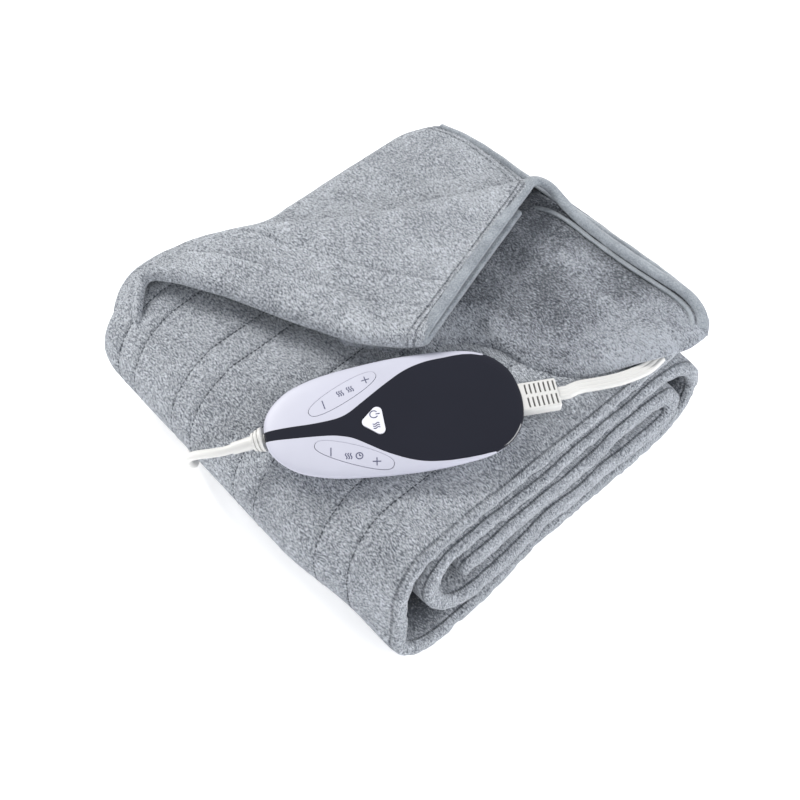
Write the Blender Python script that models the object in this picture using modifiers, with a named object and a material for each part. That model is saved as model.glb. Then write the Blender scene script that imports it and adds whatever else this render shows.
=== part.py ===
"""Heated throw folded into a square pile, with its hand control and its two cords.

Metres, +Z up. The pile stands on z = 0 with the middle of its outline at x = 0, y = 0. The folds at its
left side (-X) and right side (+X) run along Y. The stacked long edges of the layers face the front (-Y).
"""
import math

import bmesh
import bpy
from mathutils import Matrix, Vector

MM = 0.001
GAP = 0.3 * MM
# The middle of the outline in the frame of the tables below; every piece is moved by it at the end
MIDDLE = (0.2, 1.4, 0.0)

# ---------------------------------------------------------------- the pile: one long folded strip
# A row for each straight run of the strip, in the order in which it is folded.
# name, middle height, thickness, x at its start, x at its end, front edge y, back edge y, corner reach
RUNS = (
    ("top", 79.0, 12.0, 132.0, -108.0, -138.0, 127.0, 26.0),
    ("bottom", 6.5, 13.0, -108.0, 112.0, -155.0, 129.0, 12.0),
    ("upper", 65.5, 13.0, 112.0, -88.0, -143.0, 126.0, 14.0),
    ("lower", 25.5, 18.0, -88.0, 107.0, -155.0, 130.0, 8.0),
    ("core", 47.0, 18.0, 107.0, -86.0, -149.0, 127.0, 8.0),
)
# A row for each fold that joins two runs: how far it reaches past them, its thickness, its steps
TURNS = (
    ("left wrap", 45.5, 13.0, 10),
    ("right wrap", 32.0, 12.0, 9),
    ("inner roll", 22.0, 14.0, 8),
    ("inner tuck", 11.0, 16.0, 6),
)
RUN_STEPS = 8
STRIP_THICKEST = 18.0 * MM
# Places across the strip, as a share of its width, and how thick the cloth is there
ACROSS = (0.0, 0.012, 0.035, 0.09, 0.2, 0.34, 0.5, 0.66, 0.8, 0.91, 0.965, 0.988, 1.0)
EDGE_THIN = (0.30, 0.72, 0.94)
CORNER_FROM = -20.0 * MM
CORNER_RUN = 85.0 * MM
PILE_TOP = 85.0 * MM
# The left wrap's front end is drawn in over its upper part: by how much of its reach, down to
# which share of the wrap, over what run of the share, and from where along the pile
DRAW_IN = 0.44
DRAW_DOWN_TO = 0.85
DRAW_FADE = 0.35
DRAW_FROM = -55.0 * MM
DRAW_RUN = 95.0 * MM
DROOP = 5.0 * MM
DROOP_FROM = -105.0 * MM
DROOP_RUN = 45.0 * MM
SWELL = 1.6 * MM
# Its waves along X and Y: radians of the wave a metre, start
SWELL_X = (21.0, 0.6)
SWELL_Y = (17.0, -0.4)

# ---------------------------------------------------------------- the doubled panel on the right
# Points along its soft front fold: x, y
PANEL_FRONT = ((-43, 15), (-14, -22), (16, -36), (32, -58), (36, -82), (46, -101), (64, -114),
               (88, -127), (104, -138), (124, -144), (142, -143), (152, -134))
PANEL_BACK_LEFT = (-40, 124)
PANEL_BACK_RIGHT = (137, 124)
PANEL_MIDDLE = 91.0 * MM
PANEL_THICK = 10.0 * MM
PANEL_BULGE = 8.0 * MM
CORD_HUMP = 6.0 * MM
CORD_HUMP_AT = (100, -132)
CORD_HUMP_WIDE = 28.0 * MM
PANEL_COLUMNS = 16
# Places from the fold at its front to its back, and how thick the first ones are
PANEL_DEEP = (0.0, 0.015, 0.045, 0.11, 0.25, 0.45, 0.65, 0.85, 1.0)
PANEL_THIN = (0.28, 0.72, 0.95)

# ---------------------------------------------------------------- the turned-back flap
# A row for each section of the flap, from the pile's left corner to its bound edge:
# fold x, fold y, fold height, lower ply height, ridge x, ridge y, ridge height, back x, back y, back height,
# and how full the section is
FLAP = (
    (-122, 127, 75, 75, -123, 138, 79, -122, 149, 75, 0.3),
    (-113, 120, 80, 79, -111, 137, 88, -109, 150, 80, 0.55),
    (-102, 108, 86, 85, -93, 131, 98, -89, 147, 86, 0.85),
    (-90, 93, 91, 89, -70, 121, 105, -64, 138, 89, 1.0),
    (-78, 73, 93, 91, -46, 111, 109, -38, 127, 92, 1.0),
    (-66, 49, 94, 98.8, -20, 98, 112, -8, 123, 93, 1.0),
    (-56, 26, 95, 99.9, 10, 82, 114, 22, 122, 93.4, 1.0),
    (-46, 4, 97, 99.9, 40, 61, 115, 52, 122, 93.4, 1.0),
    (-35, -11, 99, 99.9, 74, 45, 115, 84, 122, 93.4, 1.0),
    (-24, -23, 100, 99.9, 108, 30, 115, 112, 121, 93.4, 1.0),
    (-14, -31, 101, 99.9, 141, 17, 114, 128, 118, 93.4, 1.0),
)
PLY = 5.5 * MM
FOLD_RADIUS = 5.2 * MM
LOWER_PLY_SHARE = 0.85
# How the upper ply turns down at the back: outwards, and its share of the way down
BACK_TURN = ((3.5, 0.12), (6.0, 0.5), (6.4, 1.0))
# Places along the lower ply, round the fold, and along the upper ply to the ridge and to the back
LOWER_SHARES = (1.0, 0.75, 0.5, 0.28, 0.12)
FOLD_STEPS = 6
UPPER_SHARES = (0.12, 0.28, 0.5, 0.75, 1.0)
BACK_SHARES = (0.2, 0.5, 0.8, 1.0)
LOWER_RISE = 2.5

# ---------------------------------------------------------------- edge bindings
BIND_RADIUS = 3.0 * MM
PIPING_RADIUS = 1.6 * MM
BIND_SPACING = 9.0 * MM
RIM_POINTS = 17
# The flap's binding goes on from the crest down the pile's right side: x, y, z
BIND_AFTER_CREST = ((148, 10, 108), (148, -8, 101.5), (147, -30, 99.6), (147, -60, 99.6),
                    (149, -90, 99.6), (151, -112, 99.6), (152.5, -126, 99.4), (151, -136, 98.6))
OUTER_BINDING = ((143.6, 108, 94), (148.0, 80, 94), (152.5, 45, 94), (155.6, 10, 94), (157.1, -30, 94),
                 (157.2, -65, 94), (157.4, -95, 94), (157.0, -106, 94))
PIPING = ((136, 8, 98.1), (141.2, -15, 98.1), (141.2, -40, 98.1), (141.7, -70, 98.1),
          (144, -100, 98.2), (146.4, -116, 98.5), (147, -130, 98.0))

# ---------------------------------------------------------------- the hand control
CONTROL_AT = (-60.4, -55.2, 86.8)
CONTROL_YAW = math.radians(-31.0)
CONTROL_TILT = math.radians(3.0)
# The half outline: place along the control, half width there
OUTLINE = ((-83.2, 0), (-82.6, 7), (-80.5, 13.5), (-77, 19), (-71, 25), (-62.7, 30.4), (-48.4, 35.4),
           (-34, 38.2), (-20, 39.9), (-5.6, 41.2), (8.6, 41.9), (22.8, 41.9), (37, 41.2),
           (51.4, 39.5), (60, 37.2), (66, 34.4), (72, 30), (78, 22.5), (81.5, 14), (83.2, 0))
AROUND = 64
# Rings of the two halves of the shell: share of the outline, height
BASE_RINGS = ((0.0, 0.0), (0.55, 0.0), (0.76, 0.5), (0.88, 2.2), (0.955, 5.2), (0.99, 8.6),
              (0.985, 9.6), (0.6, 9.6), (0.0, 9.6))
COVER_RINGS = ((0.0, 9.9), (0.6, 9.9), (0.993, 9.9), (1.0, 10.8), (0.992, 11.8), (0.965, 12.8),
               (0.91, 13.7), (0.8, 14.5), (0.6, 15.1), (0.35, 15.5), (0.0, 15.7))
GLASS_THICK = 1.2 * MM
FIT_GAP = 0.45 * MM
KEY_GAP = 0.4 * MM
ABOVE_COVER = 25.0 * MM
# The glossy window's outline: place along the control, its far edge, its near edge
WINDOW = ((-81.4, 2.0, -4.0), (-66, 1.5, -6.3), (-54, 1.0, -7.5), (-42, 1.3, -9.0), (-34.5, 2.3, -11.0),
          (-28, 4.8, -13.8), (-20, 9.8, -19.4), (-12, 15.0, -25.2), (-5, 19.5, -29.4),
          (2, 23.8, -33.0), (9, 27.8, -35.7), (16, 30.8, -37.4), (23, 32.8, -38.3), (30, 34.0, -38.8),
          (40, 34.6, -38.8), (50, 34.2, -37.4), (60, 31.6, -34.6), (67, 27.5, -30.5),
          (73, 21.5, -25.0), (77.6, 13.0, -17.0), (80.2, 4.0, -8.0))
POWER_AT = (-15.3, -4.4)
POWER_LONG = 16.5
POWER_WIDE = 22.4
POWER_CORNER = 3.0
POWER_CORNER_TURN = math.radians(58.0)
POWER_CORNER_STEPS = 5
POWER_PROUD = 0.7 * MM
POWER_FOOT = 13.0 * MM
POWER_POCKET = 11.9 * MM
ROCKER_AT = (-30.0, 22.2)
ROCKER_MIDDLE = -2.7
ROCKER_TURN = math.radians(26.0)
ROCKER_LONG = 51.0
ROCKER_WIDE = 12.6
ROCKER_STEPS = 9
ROCKER_ROUNDNESS = 0.75
ROCKER_PROUD = 0.25 * MM
ROCKER_FOOT = 12.6 * MM
ROCKER_POCKET = 11.3 * MM

# ---------------------------------------------------------------- strain reliefs
# Turned profile of the mains strain relief: distance from the shell's end, radius
MAINS_RELIEF = ((-4.0, 3.0), (0.9, 3.0), (0.9, 8.0), (2.6, 7.8), (2.6, 6.5), (3.7, 6.4), (3.7, 7.3),
                (5.3, 6.9), (5.3, 5.7), (6.4, 5.6), (6.4, 6.3), (8.0, 5.9), (8.0, 4.4), (22.0, 3.9))
MAINS_RELIEF_AT = (-82.8, 0.5, 7.0)
MAINS_RELIEF_DROOP = math.radians(15.0)
MAINS_BORE = (8.0, 3.35)
SLOT_BLOCK = (27.6, 21.0, 8.0)
SLOT_BLOCK_AT = (93.8, -1.8, 7.0)
SLOT_BLOCK_ROUND = 1.2
SLOT_COUNT = 7
SLOT = (1.2, 7.4)
SLOT_PITCH = 3.1
SLOT_FIRST = 86.8
SLOT_OFFSET = 4.9

# ---------------------------------------------------------------- cords
MAINS_RADIUS = 3.0 * MM
MAINS_SPACING = 8.0 * MM
# From the strain relief over the left fold, down to the floor and round the back corner
MAINS_ROUTE = ((-160.0, 9.5, 80.8), (-164.4, 20.0, 70.4), (-165.8, 31.0, 55.0),
               (-164.8, 37.5, 42.0), (-162.0, 42.5, 28.0), (-157.5, 47.0, 15.5), (-152.0, 55.0, 7.2),
               (-148.0, 66.0, 3.8), (-146.0, 80.0, 3.3), (-145.5, 105.0, 3.3), (-144.5, 128.0, 3.3),
               (-139.0, 146.0, 3.3), (-127.0, 160.0, 3.6), (-110.0, 166.0, 5.0), (-92.0, 166.8, 8.0),
               (-73.4, 166.8, 10.0))
TAIL_ROUTE = ((41.2, 154.8, 7.6), (50.0, 154.8, 7.2), (57.6, 154.8, 7.0))
LEAD_THICK = 4.6 * MM
LEAD_WIDE = 9.4 * MM
LEAD_SPACING = 8.0 * MM
LEAD_ROUTE = ((46.9, -117.0, 90.4), (60.1, -122.8, 87.8), (73.5, -128.6, 86.0), (85.0, -133.2, 84.8),
              (95.0, -135.2, 84.6), (107.0, -132.4, 84.8))

# ---------------------------------------------------------------- hank, ties and plug
HANK_AT = (-16.0, 160.8)
CAP_LEAD = 6.0 * MM
HANK_STRAIGHT = 60.0 * MM
HANK_INNER = 15.0 * MM
HANK_OUTER = 27.0 * MM
HANK_HEIGHT = 18.0 * MM
HANK_ROUND = 2.4
HANK_STEPS = 14
TIE_THICK = 1.0 * MM
TIE_WIDE = 8.0 * MM
TIE_ROOM = 0.6
PLUG_AT = (80.0, 154.8, 7.0)
PLUG_BODY = (24.0, 34.0, 13.6)
PLUG_TAPER = ((-10.0, 3.9), (-12.0, 4.2), (-22.0, 3.6))
PIN_RADIUS = 2.0 * MM
PIN_SIDES = 16
PIN_APART = 9.3 * MM
PIN_LONG = 27.0 * MM
PIN_ROOT = 8.0 * MM
PIN_CHAMFER = 0.7
PLUG_ROUND = 3.0


def smooth(value):
    """Rises softly from 0 to 1 as value does."""
    value = min(max(value, 0.0), 1.0)
    return value * value * (3.0 - 2.0 * value)


def blend(a, b, share):
    return a + (b - a) * share


def clear_scene():
    for thing in list(bpy.data.objects):
        bpy.data.objects.remove(thing, do_unlink=True)


def collection(name):
    group = bpy.data.collections.new(name)
    bpy.context.scene.collection.children.link(group)
    return group


def material(name, colour, roughness, metallic=0.0):
    skin = bpy.data.materials.new(name)
    skin.use_nodes = True
    shader = skin.node_tree.nodes["Principled BSDF"]
    shader.inputs["Base Color"].default_value = (*colour, 1.0)
    shader.inputs["Roughness"].default_value = roughness
    shader.inputs["Metallic"].default_value = metallic
    return skin


def add_object(name, data, group, skin=None):
    thing = bpy.data.objects.new(name, data)
    group.objects.link(thing)
    if skin:
        data.materials.append(skin)
    return thing


def grid_sheet(name, points, thicknesses, thickest, group, skin=None):
    """A thick sheet over a grid of middle points, each with its own thickness."""
    rows = len(points)
    columns = len(points[0])
    mesh = bpy.data.meshes.new(name)
    shape = bmesh.new()
    layer = shape.verts.layers.deform.new()
    bmesh.ops.create_grid(shape, x_segments=rows - 1, y_segments=columns - 1, size=0.5)
    order = sorted(shape.verts, key=lambda v: (round(v.co.x, 5), round(v.co.y, 5)))
    for index, vertex in enumerate(order):
        row, column = divmod(index, columns)
        vertex.co = points[row][column]
        vertex[layer][0] = thicknesses[row][column] / thickest
    shape.to_mesh(mesh)
    shape.free()
    thing = add_object(name, mesh, group, skin)
    thing.vertex_groups.new(name="thickness")
    solid = thing.modifiers.new("thickness", "SOLIDIFY")
    solid.thickness = thickest
    solid.offset = 0.0
    solid.vertex_group = "thickness"
    solid.use_rim = True
    return thing


def settle(x, y, z):
    """The pile's soft unevenness: it sinks towards its front edge and swells in its middle."""
    height = max(z - RUNS[1][1] * MM, 0.0) / PILE_TOP
    sink = DROOP * smooth((DROOP_FROM - y) / DROOP_RUN)
    swell = SWELL * math.sin(SWELL_X[0] * x + SWELL_X[1]) * math.cos(SWELL_Y[0] * y + SWELL_Y[1])
    return Vector((x, y, z + height * (swell - sink)))


# ---------------------------------------------------------------- the folded strip
def strip_path():
    """The middle line of the strip in the X-Z plane, with its thickness and both its edges."""
    path = []
    for index, run in enumerate(RUNS):
        _, z, thick, start, end, front, back, reach = run
        for step in range(RUN_STEPS):
            share = step / (RUN_STEPS - 1)
            path.append((blend(start, end, share), z, thick, front, back, reach, 0.0))
        if index < len(TURNS):
            _, turn_reach, turn_thick, steps = TURNS[index]
            drawn = DRAW_IN * turn_reach if index == 0 else 0.0
            after = RUNS[index + 1]
            middle = (z + after[1]) / 2
            half = (z - after[1]) / 2
            side = -1 if end < start else 1
            for step in range(1, steps):
                share = step / steps
                angle = math.pi * share
                x = end + side * turn_reach * math.sin(angle)
                height = middle + half * math.cos(angle)
                fade = math.sin(angle)
                thickness = blend(blend(thick, after[2], share), turn_thick, fade)
                draw = drawn * fade * smooth((DRAW_DOWN_TO - share) / DRAW_FADE)
                path.append((x, height, thickness, blend(front, after[5], share),
                             blend(back, after[6], share), blend(reach, after[7], share), draw))
    return path


def strip(group, skin):
    points = []
    thicknesses = []
    for x, z, thick, front, back, corner_reach, draw in strip_path():
        corner = corner_reach * smooth((CORNER_FROM - x * MM) / CORNER_RUN)
        row = []
        row_thick = []
        for place, share in enumerate(ACROSS):
            y = blend(front, back + corner, share)
            inwards = draw * smooth((DRAW_FROM - y * MM) / DRAW_RUN)
            row.append(settle((x + inwards) * MM, y * MM, z * MM))
            rim = min(place, len(ACROSS) - 1 - place)
            thin = EDGE_THIN[rim] if rim < len(EDGE_THIN) else 1.0
            row_thick.append(thick * MM * thin)
        points.append(row)
        thicknesses.append(row_thick)
    return grid_sheet("blanket", points, thicknesses, STRIP_THICKEST, group, skin)


def line_at(points, share):
    """A point at a share of the length of a line of points."""
    spans = [math.dist(a, b) for a, b in zip(points, points[1:])]
    left = share * sum(spans)
    for a, b, span in zip(points, points[1:], spans):
        if left <= span:
            return tuple(blend(p, q, left / span) for p, q in zip(a, b))
        left -= span
    return points[-1]


def panel(group):
    """The doubled panel: a soft fold at its front, its bound edge on the right."""
    points = []
    thicknesses = []
    for column in range(PANEL_COLUMNS):
        share = column / (PANEL_COLUMNS - 1)
        front = line_at(PANEL_FRONT, share)
        back = tuple(blend(p, q, share) for p, q in zip(PANEL_BACK_LEFT, PANEL_BACK_RIGHT))
        row = []
        row_thick = []
        for place, deep in enumerate(PANEL_DEEP):
            x = blend(front[0], back[0], deep) * MM
            y = blend(front[1], back[1], deep) * MM
            x += PANEL_BULGE * share * math.sin(math.pi * deep)
            away = math.dist((x, y), (CORD_HUMP_AT[0] * MM, CORD_HUMP_AT[1] * MM)) / CORD_HUMP_WIDE
            z = PANEL_MIDDLE + CORD_HUMP * math.exp(-away * away)
            row.append(settle(x, y, z))
            row_thick.append(PANEL_THICK * (PANEL_THIN[place] if place < len(PANEL_THIN) else 1.0))
        points.append(row)
        thicknesses.append(row_thick)
    return grid_sheet("panel_fold", points, thicknesses, PANEL_THICK, group)


def flap_section(row):
    """The middle line of one section: lower ply, round fold, upper ply over the ridge, back turn."""
    fold = Vector((row[0], row[1], 0.0)) * MM
    low = row[2] * MM
    rest = row[3] * MM
    ridge = Vector((row[4], row[5], 0.0)) * MM
    crest = row[6] * MM
    back = Vector((row[7], row[8], 0.0)) * MM
    end = row[9] * MM
    radius = FOLD_RADIUS * row[10]
    inward = (ridge - fold).normalized()
    centre = fold + inward * (radius + PLY * row[10] / 2)
    line = []
    for share in LOWER_SHARES:
        place = centre.lerp(ridge, share * LOWER_PLY_SHARE)
        line.append(Vector((place.x, place.y, blend(low, rest, smooth(share * LOWER_RISE)))))
    for step in range(FOLD_STEPS + 1):
        angle = math.pi * step / FOLD_STEPS
        place = centre - inward * radius * math.sin(angle)
        line.append(Vector((place.x, place.y, low + radius * (1.0 - math.cos(angle)))))
    top = low + 2 * radius
    for share in UPPER_SHARES:
        place = centre.lerp(ridge, share)
        line.append(Vector((place.x, place.y, blend(top, crest, math.sin(share * math.pi / 2)))))
    for share in BACK_SHARES:
        place = ridge.lerp(back, share)
        line.append(Vector((place.x, place.y, blend(crest, end, smooth(share)))))
    outward = (back - ridge).normalized()
    base = min(RUNS[0][1] * MM, end - PLY)
    for reach, down in BACK_TURN:
        place = back + outward * reach * MM
        line.append(Vector((place.x, place.y, blend(end, base, down))))
    return line


def flap(group):
    points = []
    thicknesses = []
    for row in FLAP:
        line = flap_section(row)
        points.append([settle(p.x, p.y, p.z) for p in line])
        thicknesses.append([PLY * row[10]] * len(line))
    return grid_sheet("flap_fold", points, thicknesses, PLY, group)


def join(body, others):
    for other in others:
        guide(other)
        union = body.modifiers.new("joined", "BOOLEAN")
        union.operation = "UNION"
        union.solver = "EXACT"
        union.object = other


def guide(thing):
    thing.hide_render = True
    thing.display_type = "WIRE"


def cut(body, cutter, operation="DIFFERENCE"):
    guide(cutter)
    step = body.modifiers.new(operation.lower(), "BOOLEAN")
    step.operation = operation
    step.solver = "EXACT"
    step.object = cutter


# ---------------------------------------------------------------- tubes along smooth lines
def smooth_line(points, spacing):
    """Even points along a smooth curve that passes through the given ones."""
    knots = [Vector(p) for p in points]
    ends = [2 * knots[0] - knots[1]] + knots + [2 * knots[-1] - knots[-2]]
    fine = []
    steps = 24
    for a, b, c, d in zip(ends, ends[1:], ends[2:], ends[3:]):
        for step in range(steps):
            t = step / steps
            fine.append(0.5 * (2 * b + (c - a) * t + (2 * a - 5 * b + 4 * c - d) * t ** 2
                               + (3 * b - a - 3 * c + d) * t ** 3))
    fine.append(knots[-1])
    whole = sum((q - p).length for p, q in zip(fine, fine[1:]))
    count = max(2, round(whole / spacing))
    return [Vector(line_at([tuple(p) for p in fine], step / count)) for step in range(count + 1)]


def tube(name, line, radius, group, skin, sides=2, half_width=0.0):
    """A tube along a line of points, widened sideways to a ribbon where it has a half width."""
    data = bpy.data.curves.new(name, "CURVE")
    data.dimensions = "3D"
    data.bevel_depth = radius
    data.bevel_resolution = sides
    data.extrude = half_width
    data.use_fill_caps = True
    data.twist_mode = "Z_UP" if half_width else "MINIMUM"
    spline = data.splines.new("POLY")
    spline.points.add(len(line) - 1)
    for point, place in zip(spline.points, line):
        point.co = (*place, 1.0)
        point.tilt = math.pi / 2 if half_width else 0.0
    return add_object(name, data, group, skin)


def millimetres(rows):
    return [tuple(value * MM for value in row) for row in rows]


def rim_line():
    """A line just outside the flap's bound edge, round its fold and up to the crest."""
    last = [settle(*place) for place in flap_section(FLAP[-1])]
    before = [settle(*place) for place in flap_section(FLAP[-2])]
    line = []
    for index in range(RIM_POINTS):
        along = (last[index + 1] - last[max(index - 1, 0)]).normalized()
        outward = last[index] - before[index]
        outward -= along * outward.dot(along)
        line.append(last[index] + outward.normalized() * (BIND_RADIUS + GAP))
    return line


def settled(rows):
    return [tuple(settle(*row)) for row in millimetres(rows)]


def bindings(group, skin):
    """Tape along the flap's bound edge and down the pile's right side, and the edges beside it."""
    edge = rim_line()
    after = smooth_line([tuple(edge[-1])] + settled(BIND_AFTER_CREST), BIND_SPACING)
    tube("binding_flap", edge + after[1:], BIND_RADIUS, group, skin)
    tube("binding_outer", smooth_line(settled(OUTER_BINDING), BIND_SPACING), BIND_RADIUS, group, skin)
    tube("binding_panel", smooth_line(settled(PIPING), BIND_SPACING), PIPING_RADIUS, group, skin)


# ---------------------------------------------------------------- the hand control
def control_frame():
    place = Matrix.Translation(Vector(CONTROL_AT) * MM)
    return place @ Matrix.Rotation(CONTROL_YAW, 4, "Z") @ Matrix.Rotation(CONTROL_TILT, 4, "X")


def half_width(outline, along):
    """Half the width of a half outline at a place along it."""
    for (x0, w0), (x1, w1) in zip(outline, outline[1:]):
        if x0 <= along <= x1:
            return blend(w0, w1, (along - x0) / (x1 - x0))
    return 0.0


def reach(outline, angle):
    """The distance from the middle to the outline in one direction."""
    near, far = 0.0, 100.0
    for _ in range(30):
        middle = (near + far) / 2
        x, y = middle * math.cos(angle), middle * math.sin(angle)
        if outline[0][0] < x < outline[-1][0] and abs(y) < half_width(outline, x):
            near = middle
        else:
            far = middle
    return near * MM


def ringed_shell(name, rings, group, skin=None, outline=OUTLINE, raised=0.0):
    """A closed body whose rings are scaled copies of one outline at their own heights."""
    shape = bmesh.new()
    bmesh.ops.create_uvsphere(shape, u_segments=AROUND, v_segments=len(rings) - 1, radius=1.0)
    order = sorted(shape.verts, key=lambda v: v.co.z)
    levels = [order[:1]]
    for ring in range(len(rings) - 2):
        levels.append(order[1 + ring * AROUND:1 + (ring + 1) * AROUND])
    levels.append(order[-1:])
    for (share, height), level in zip(rings, levels):
        for vertex in level:
            angle = math.atan2(vertex.co.y, vertex.co.x)
            span = share * reach(outline, angle)
            vertex.co = (span * math.cos(angle), span * math.sin(angle), height * MM + raised)
    mesh = bpy.data.meshes.new(name)
    shape.to_mesh(mesh)
    shape.free()
    mesh.shade_smooth()
    return add_object(name, mesh, group, skin)


def prism(name, corners, low, high, group, skin=None):
    """A flat outline of x, y points raised from one height to another."""
    data = bpy.data.curves.new(name, "CURVE")
    data.dimensions = "2D"
    data.fill_mode = "BOTH"
    data.extrude = (high - low) / 2
    spline = data.splines.new("POLY")
    spline.points.add(len(corners) - 1)
    for point, (x, y) in zip(spline.points, corners):
        point.co = (x, y, 0.0, 1.0)
    spline.use_cyclic_u = True
    flat = bpy.data.objects.new(name, data)
    group.objects.link(flat)
    bpy.context.view_layer.update()
    seen = flat.evaluated_get(bpy.context.evaluated_depsgraph_get())
    mesh = bpy.data.meshes.new_from_object(seen)
    bpy.data.objects.remove(flat)
    shape = bmesh.new()
    shape.from_mesh(mesh)
    bmesh.ops.remove_doubles(shape, verts=shape.verts, dist=1e-6)
    bmesh.ops.recalc_face_normals(shape, faces=shape.faces)
    bmesh.ops.translate(shape, verts=shape.verts, vec=(0.0, 0.0, (low + high) / 2))
    shape.to_mesh(mesh)
    shape.free()
    mesh.name = name
    return add_object(name, mesh, group, skin)


def window_ring(grow=0.0):
    far = [(x, y) for x, y, _ in WINDOW]
    near = [(x, y) for x, _, y in reversed(WINDOW)]
    return grown(millimetres(far + near), grow)


def grown(ring, margin):
    """A ring of points moved outwards by a margin, each along the mean of its edges' normals."""
    area = sum(a[0] * b[1] - b[0] * a[1] for a, b in zip(ring, ring[1:] + ring[:1]))
    side = 1.0 if area > 0 else -1.0
    result = []
    for index, here in enumerate(ring):
        a = ring[index - 1]
        b = ring[(index + 1) % len(ring)]
        before = Vector((here[1] - a[1], a[0] - here[0])).normalized()
        after = Vector((b[1] - here[1], here[0] - b[0])).normalized()
        outward = (before + after).normalized() * side * margin
        result.append((here[0] + outward.x, here[1] + outward.y))
    return result


def triangle_ring(grow=0.0):
    """The power key: a triangle with round corners, its point towards the cord's end."""
    tip = (-POWER_LONG / 2, 0.0)
    corners = (tip, (POWER_LONG / 2, -POWER_WIDE / 2), (POWER_LONG / 2, POWER_WIDE / 2))
    ring = []
    middle = (POWER_LONG / 6, 0.0)
    for index, corner in enumerate(corners):
        span = math.dist(corner, middle)
        inset = POWER_CORNER * 1.6 / span
        centre = (blend(corner[0], middle[0], inset), blend(corner[1], middle[1], inset))
        facing = math.atan2(corner[1] - middle[1], corner[0] - middle[0])
        for step in range(POWER_CORNER_STEPS + 1):
            turn = blend(-POWER_CORNER_TURN, POWER_CORNER_TURN, step / POWER_CORNER_STEPS)
            angle = facing + turn
            ring.append(((centre[0] + POWER_CORNER * math.cos(angle) + POWER_AT[0]) * MM,
                         (centre[1] + POWER_CORNER * math.sin(angle) + POWER_AT[1]) * MM))
    return grown(ring, grow)


def lens_ring(side, grow=0.0):
    """A rocker key: a pointed oval, turned away from the middle line."""
    half = ROCKER_LONG / 2
    ring = []
    turn = ROCKER_TURN * side
    for flip in (1, -1):
        for step in range(ROCKER_STEPS):
            share = step / ROCKER_STEPS
            x = flip * half * math.cos(math.pi * share)
            y = flip * ROCKER_WIDE / 2 * math.sin(math.pi * share) ** ROCKER_ROUNDNESS
            ring.append(((ROCKER_AT[0] + x * math.cos(turn) - y * math.sin(turn)) * MM,
                         (ROCKER_MIDDLE + side * ROCKER_AT[1] + x * math.sin(turn)
                          + y * math.cos(turn)) * MM))
    return grown(ring, grow)


def key(name, ring, foot, proud, centre, parts, cutters, skin):
    """A key: its outline raised from its foot to just over the cover's curved top."""
    body = prism(name, ring, foot, ABOVE_COVER, parts, skin)
    roof = ringed_shell(name + "_roof", COVER_RINGS, cutters, raised=proud)
    for thing in (body, roof):
        thing.data.transform(Matrix.Translation(-Vector(centre)))
        thing.location = centre
    cut(body, roof, "INTERSECT")
    return [body, roof]


def window(parts, cutters, skin):
    """The glossy inlay and the recess it lies in, both under the cover's curved top."""
    inlay = prism("control_window", window_ring(), 0.0, ABOVE_COVER, parts, skin)
    roof = ringed_shell("window_roof", COVER_RINGS, cutters)
    floor = ringed_shell("window_floor", COVER_RINGS, cutters, raised=-GLASS_THICK)
    cut(inlay, roof, "INTERSECT")
    cut(inlay, floor)
    recess = prism("window_recess", window_ring(FIT_GAP), 0.0, ABOVE_COVER, cutters)
    recess_floor = ringed_shell("recess_floor", COVER_RINGS, cutters, raised=-GLASS_THICK - FIT_GAP)
    cut(recess, recess_floor)
    return inlay, recess, [roof, floor, recess_floor]


def control(parts, cutters, soft):
    shell = material("pale shell", (0.78, 0.78, 0.87), 0.35)
    glass = material("glossy window", (0.015, 0.017, 0.03), 0.08)
    white = material("white key", (0.85, 0.85, 0.9), 0.35)
    base = ringed_shell("control_base", BASE_RINGS, parts, shell)
    cover = ringed_shell("control_cover", COVER_RINGS, parts, shell)
    inlay, recess, others = window(parts, cutters, glass)
    cut(cover, recess)
    pieces = [base, cover, inlay, recess] + others

    centre = (POWER_AT[0] * MM, POWER_AT[1] * MM, POWER_FOOT)
    pieces += key("power_key", triangle_ring(), POWER_FOOT, POWER_PROUD, centre, parts, cutters, white)
    hole = prism("power_hole", triangle_ring(KEY_GAP), POWER_POCKET, ABOVE_COVER, cutters)
    cut(inlay, hole)
    cut(cover, hole)
    pieces.append(hole)
    for side, name in ((1, "rocker_far"), (-1, "rocker_near")):
        centre = (ROCKER_AT[0] * MM, (ROCKER_MIDDLE + side * ROCKER_AT[1]) * MM, ROCKER_FOOT)
        pieces += key(name, lens_ring(side), ROCKER_FOOT, ROCKER_PROUD, centre, parts, cutters, shell)
        hole = prism(name + "_hole", lens_ring(side, KEY_GAP), ROCKER_POCKET, ABOVE_COVER, cutters)
        cut(cover, hole)
        pieces.append(hole)
    for piece in reliefs(parts, cutters, soft, (base, cover)) + pieces:
        piece.matrix_world = control_frame() @ piece.matrix_basis


def box(name, middle, size, group, skin=None):
    shape = bmesh.new()
    bmesh.ops.create_cube(shape, size=MM)
    bmesh.ops.scale(shape, verts=shape.verts, vec=size)
    bmesh.ops.translate(shape, verts=shape.verts, vec=Vector(middle) * MM)
    mesh = bpy.data.meshes.new(name)
    shape.to_mesh(mesh)
    shape.free()
    return add_object(name, mesh, group, skin)


def rounded(thing, width):
    bevel = thing.modifiers.new("soft edges", "BEVEL")
    bevel.width = width * MM
    bevel.segments = 2


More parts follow.
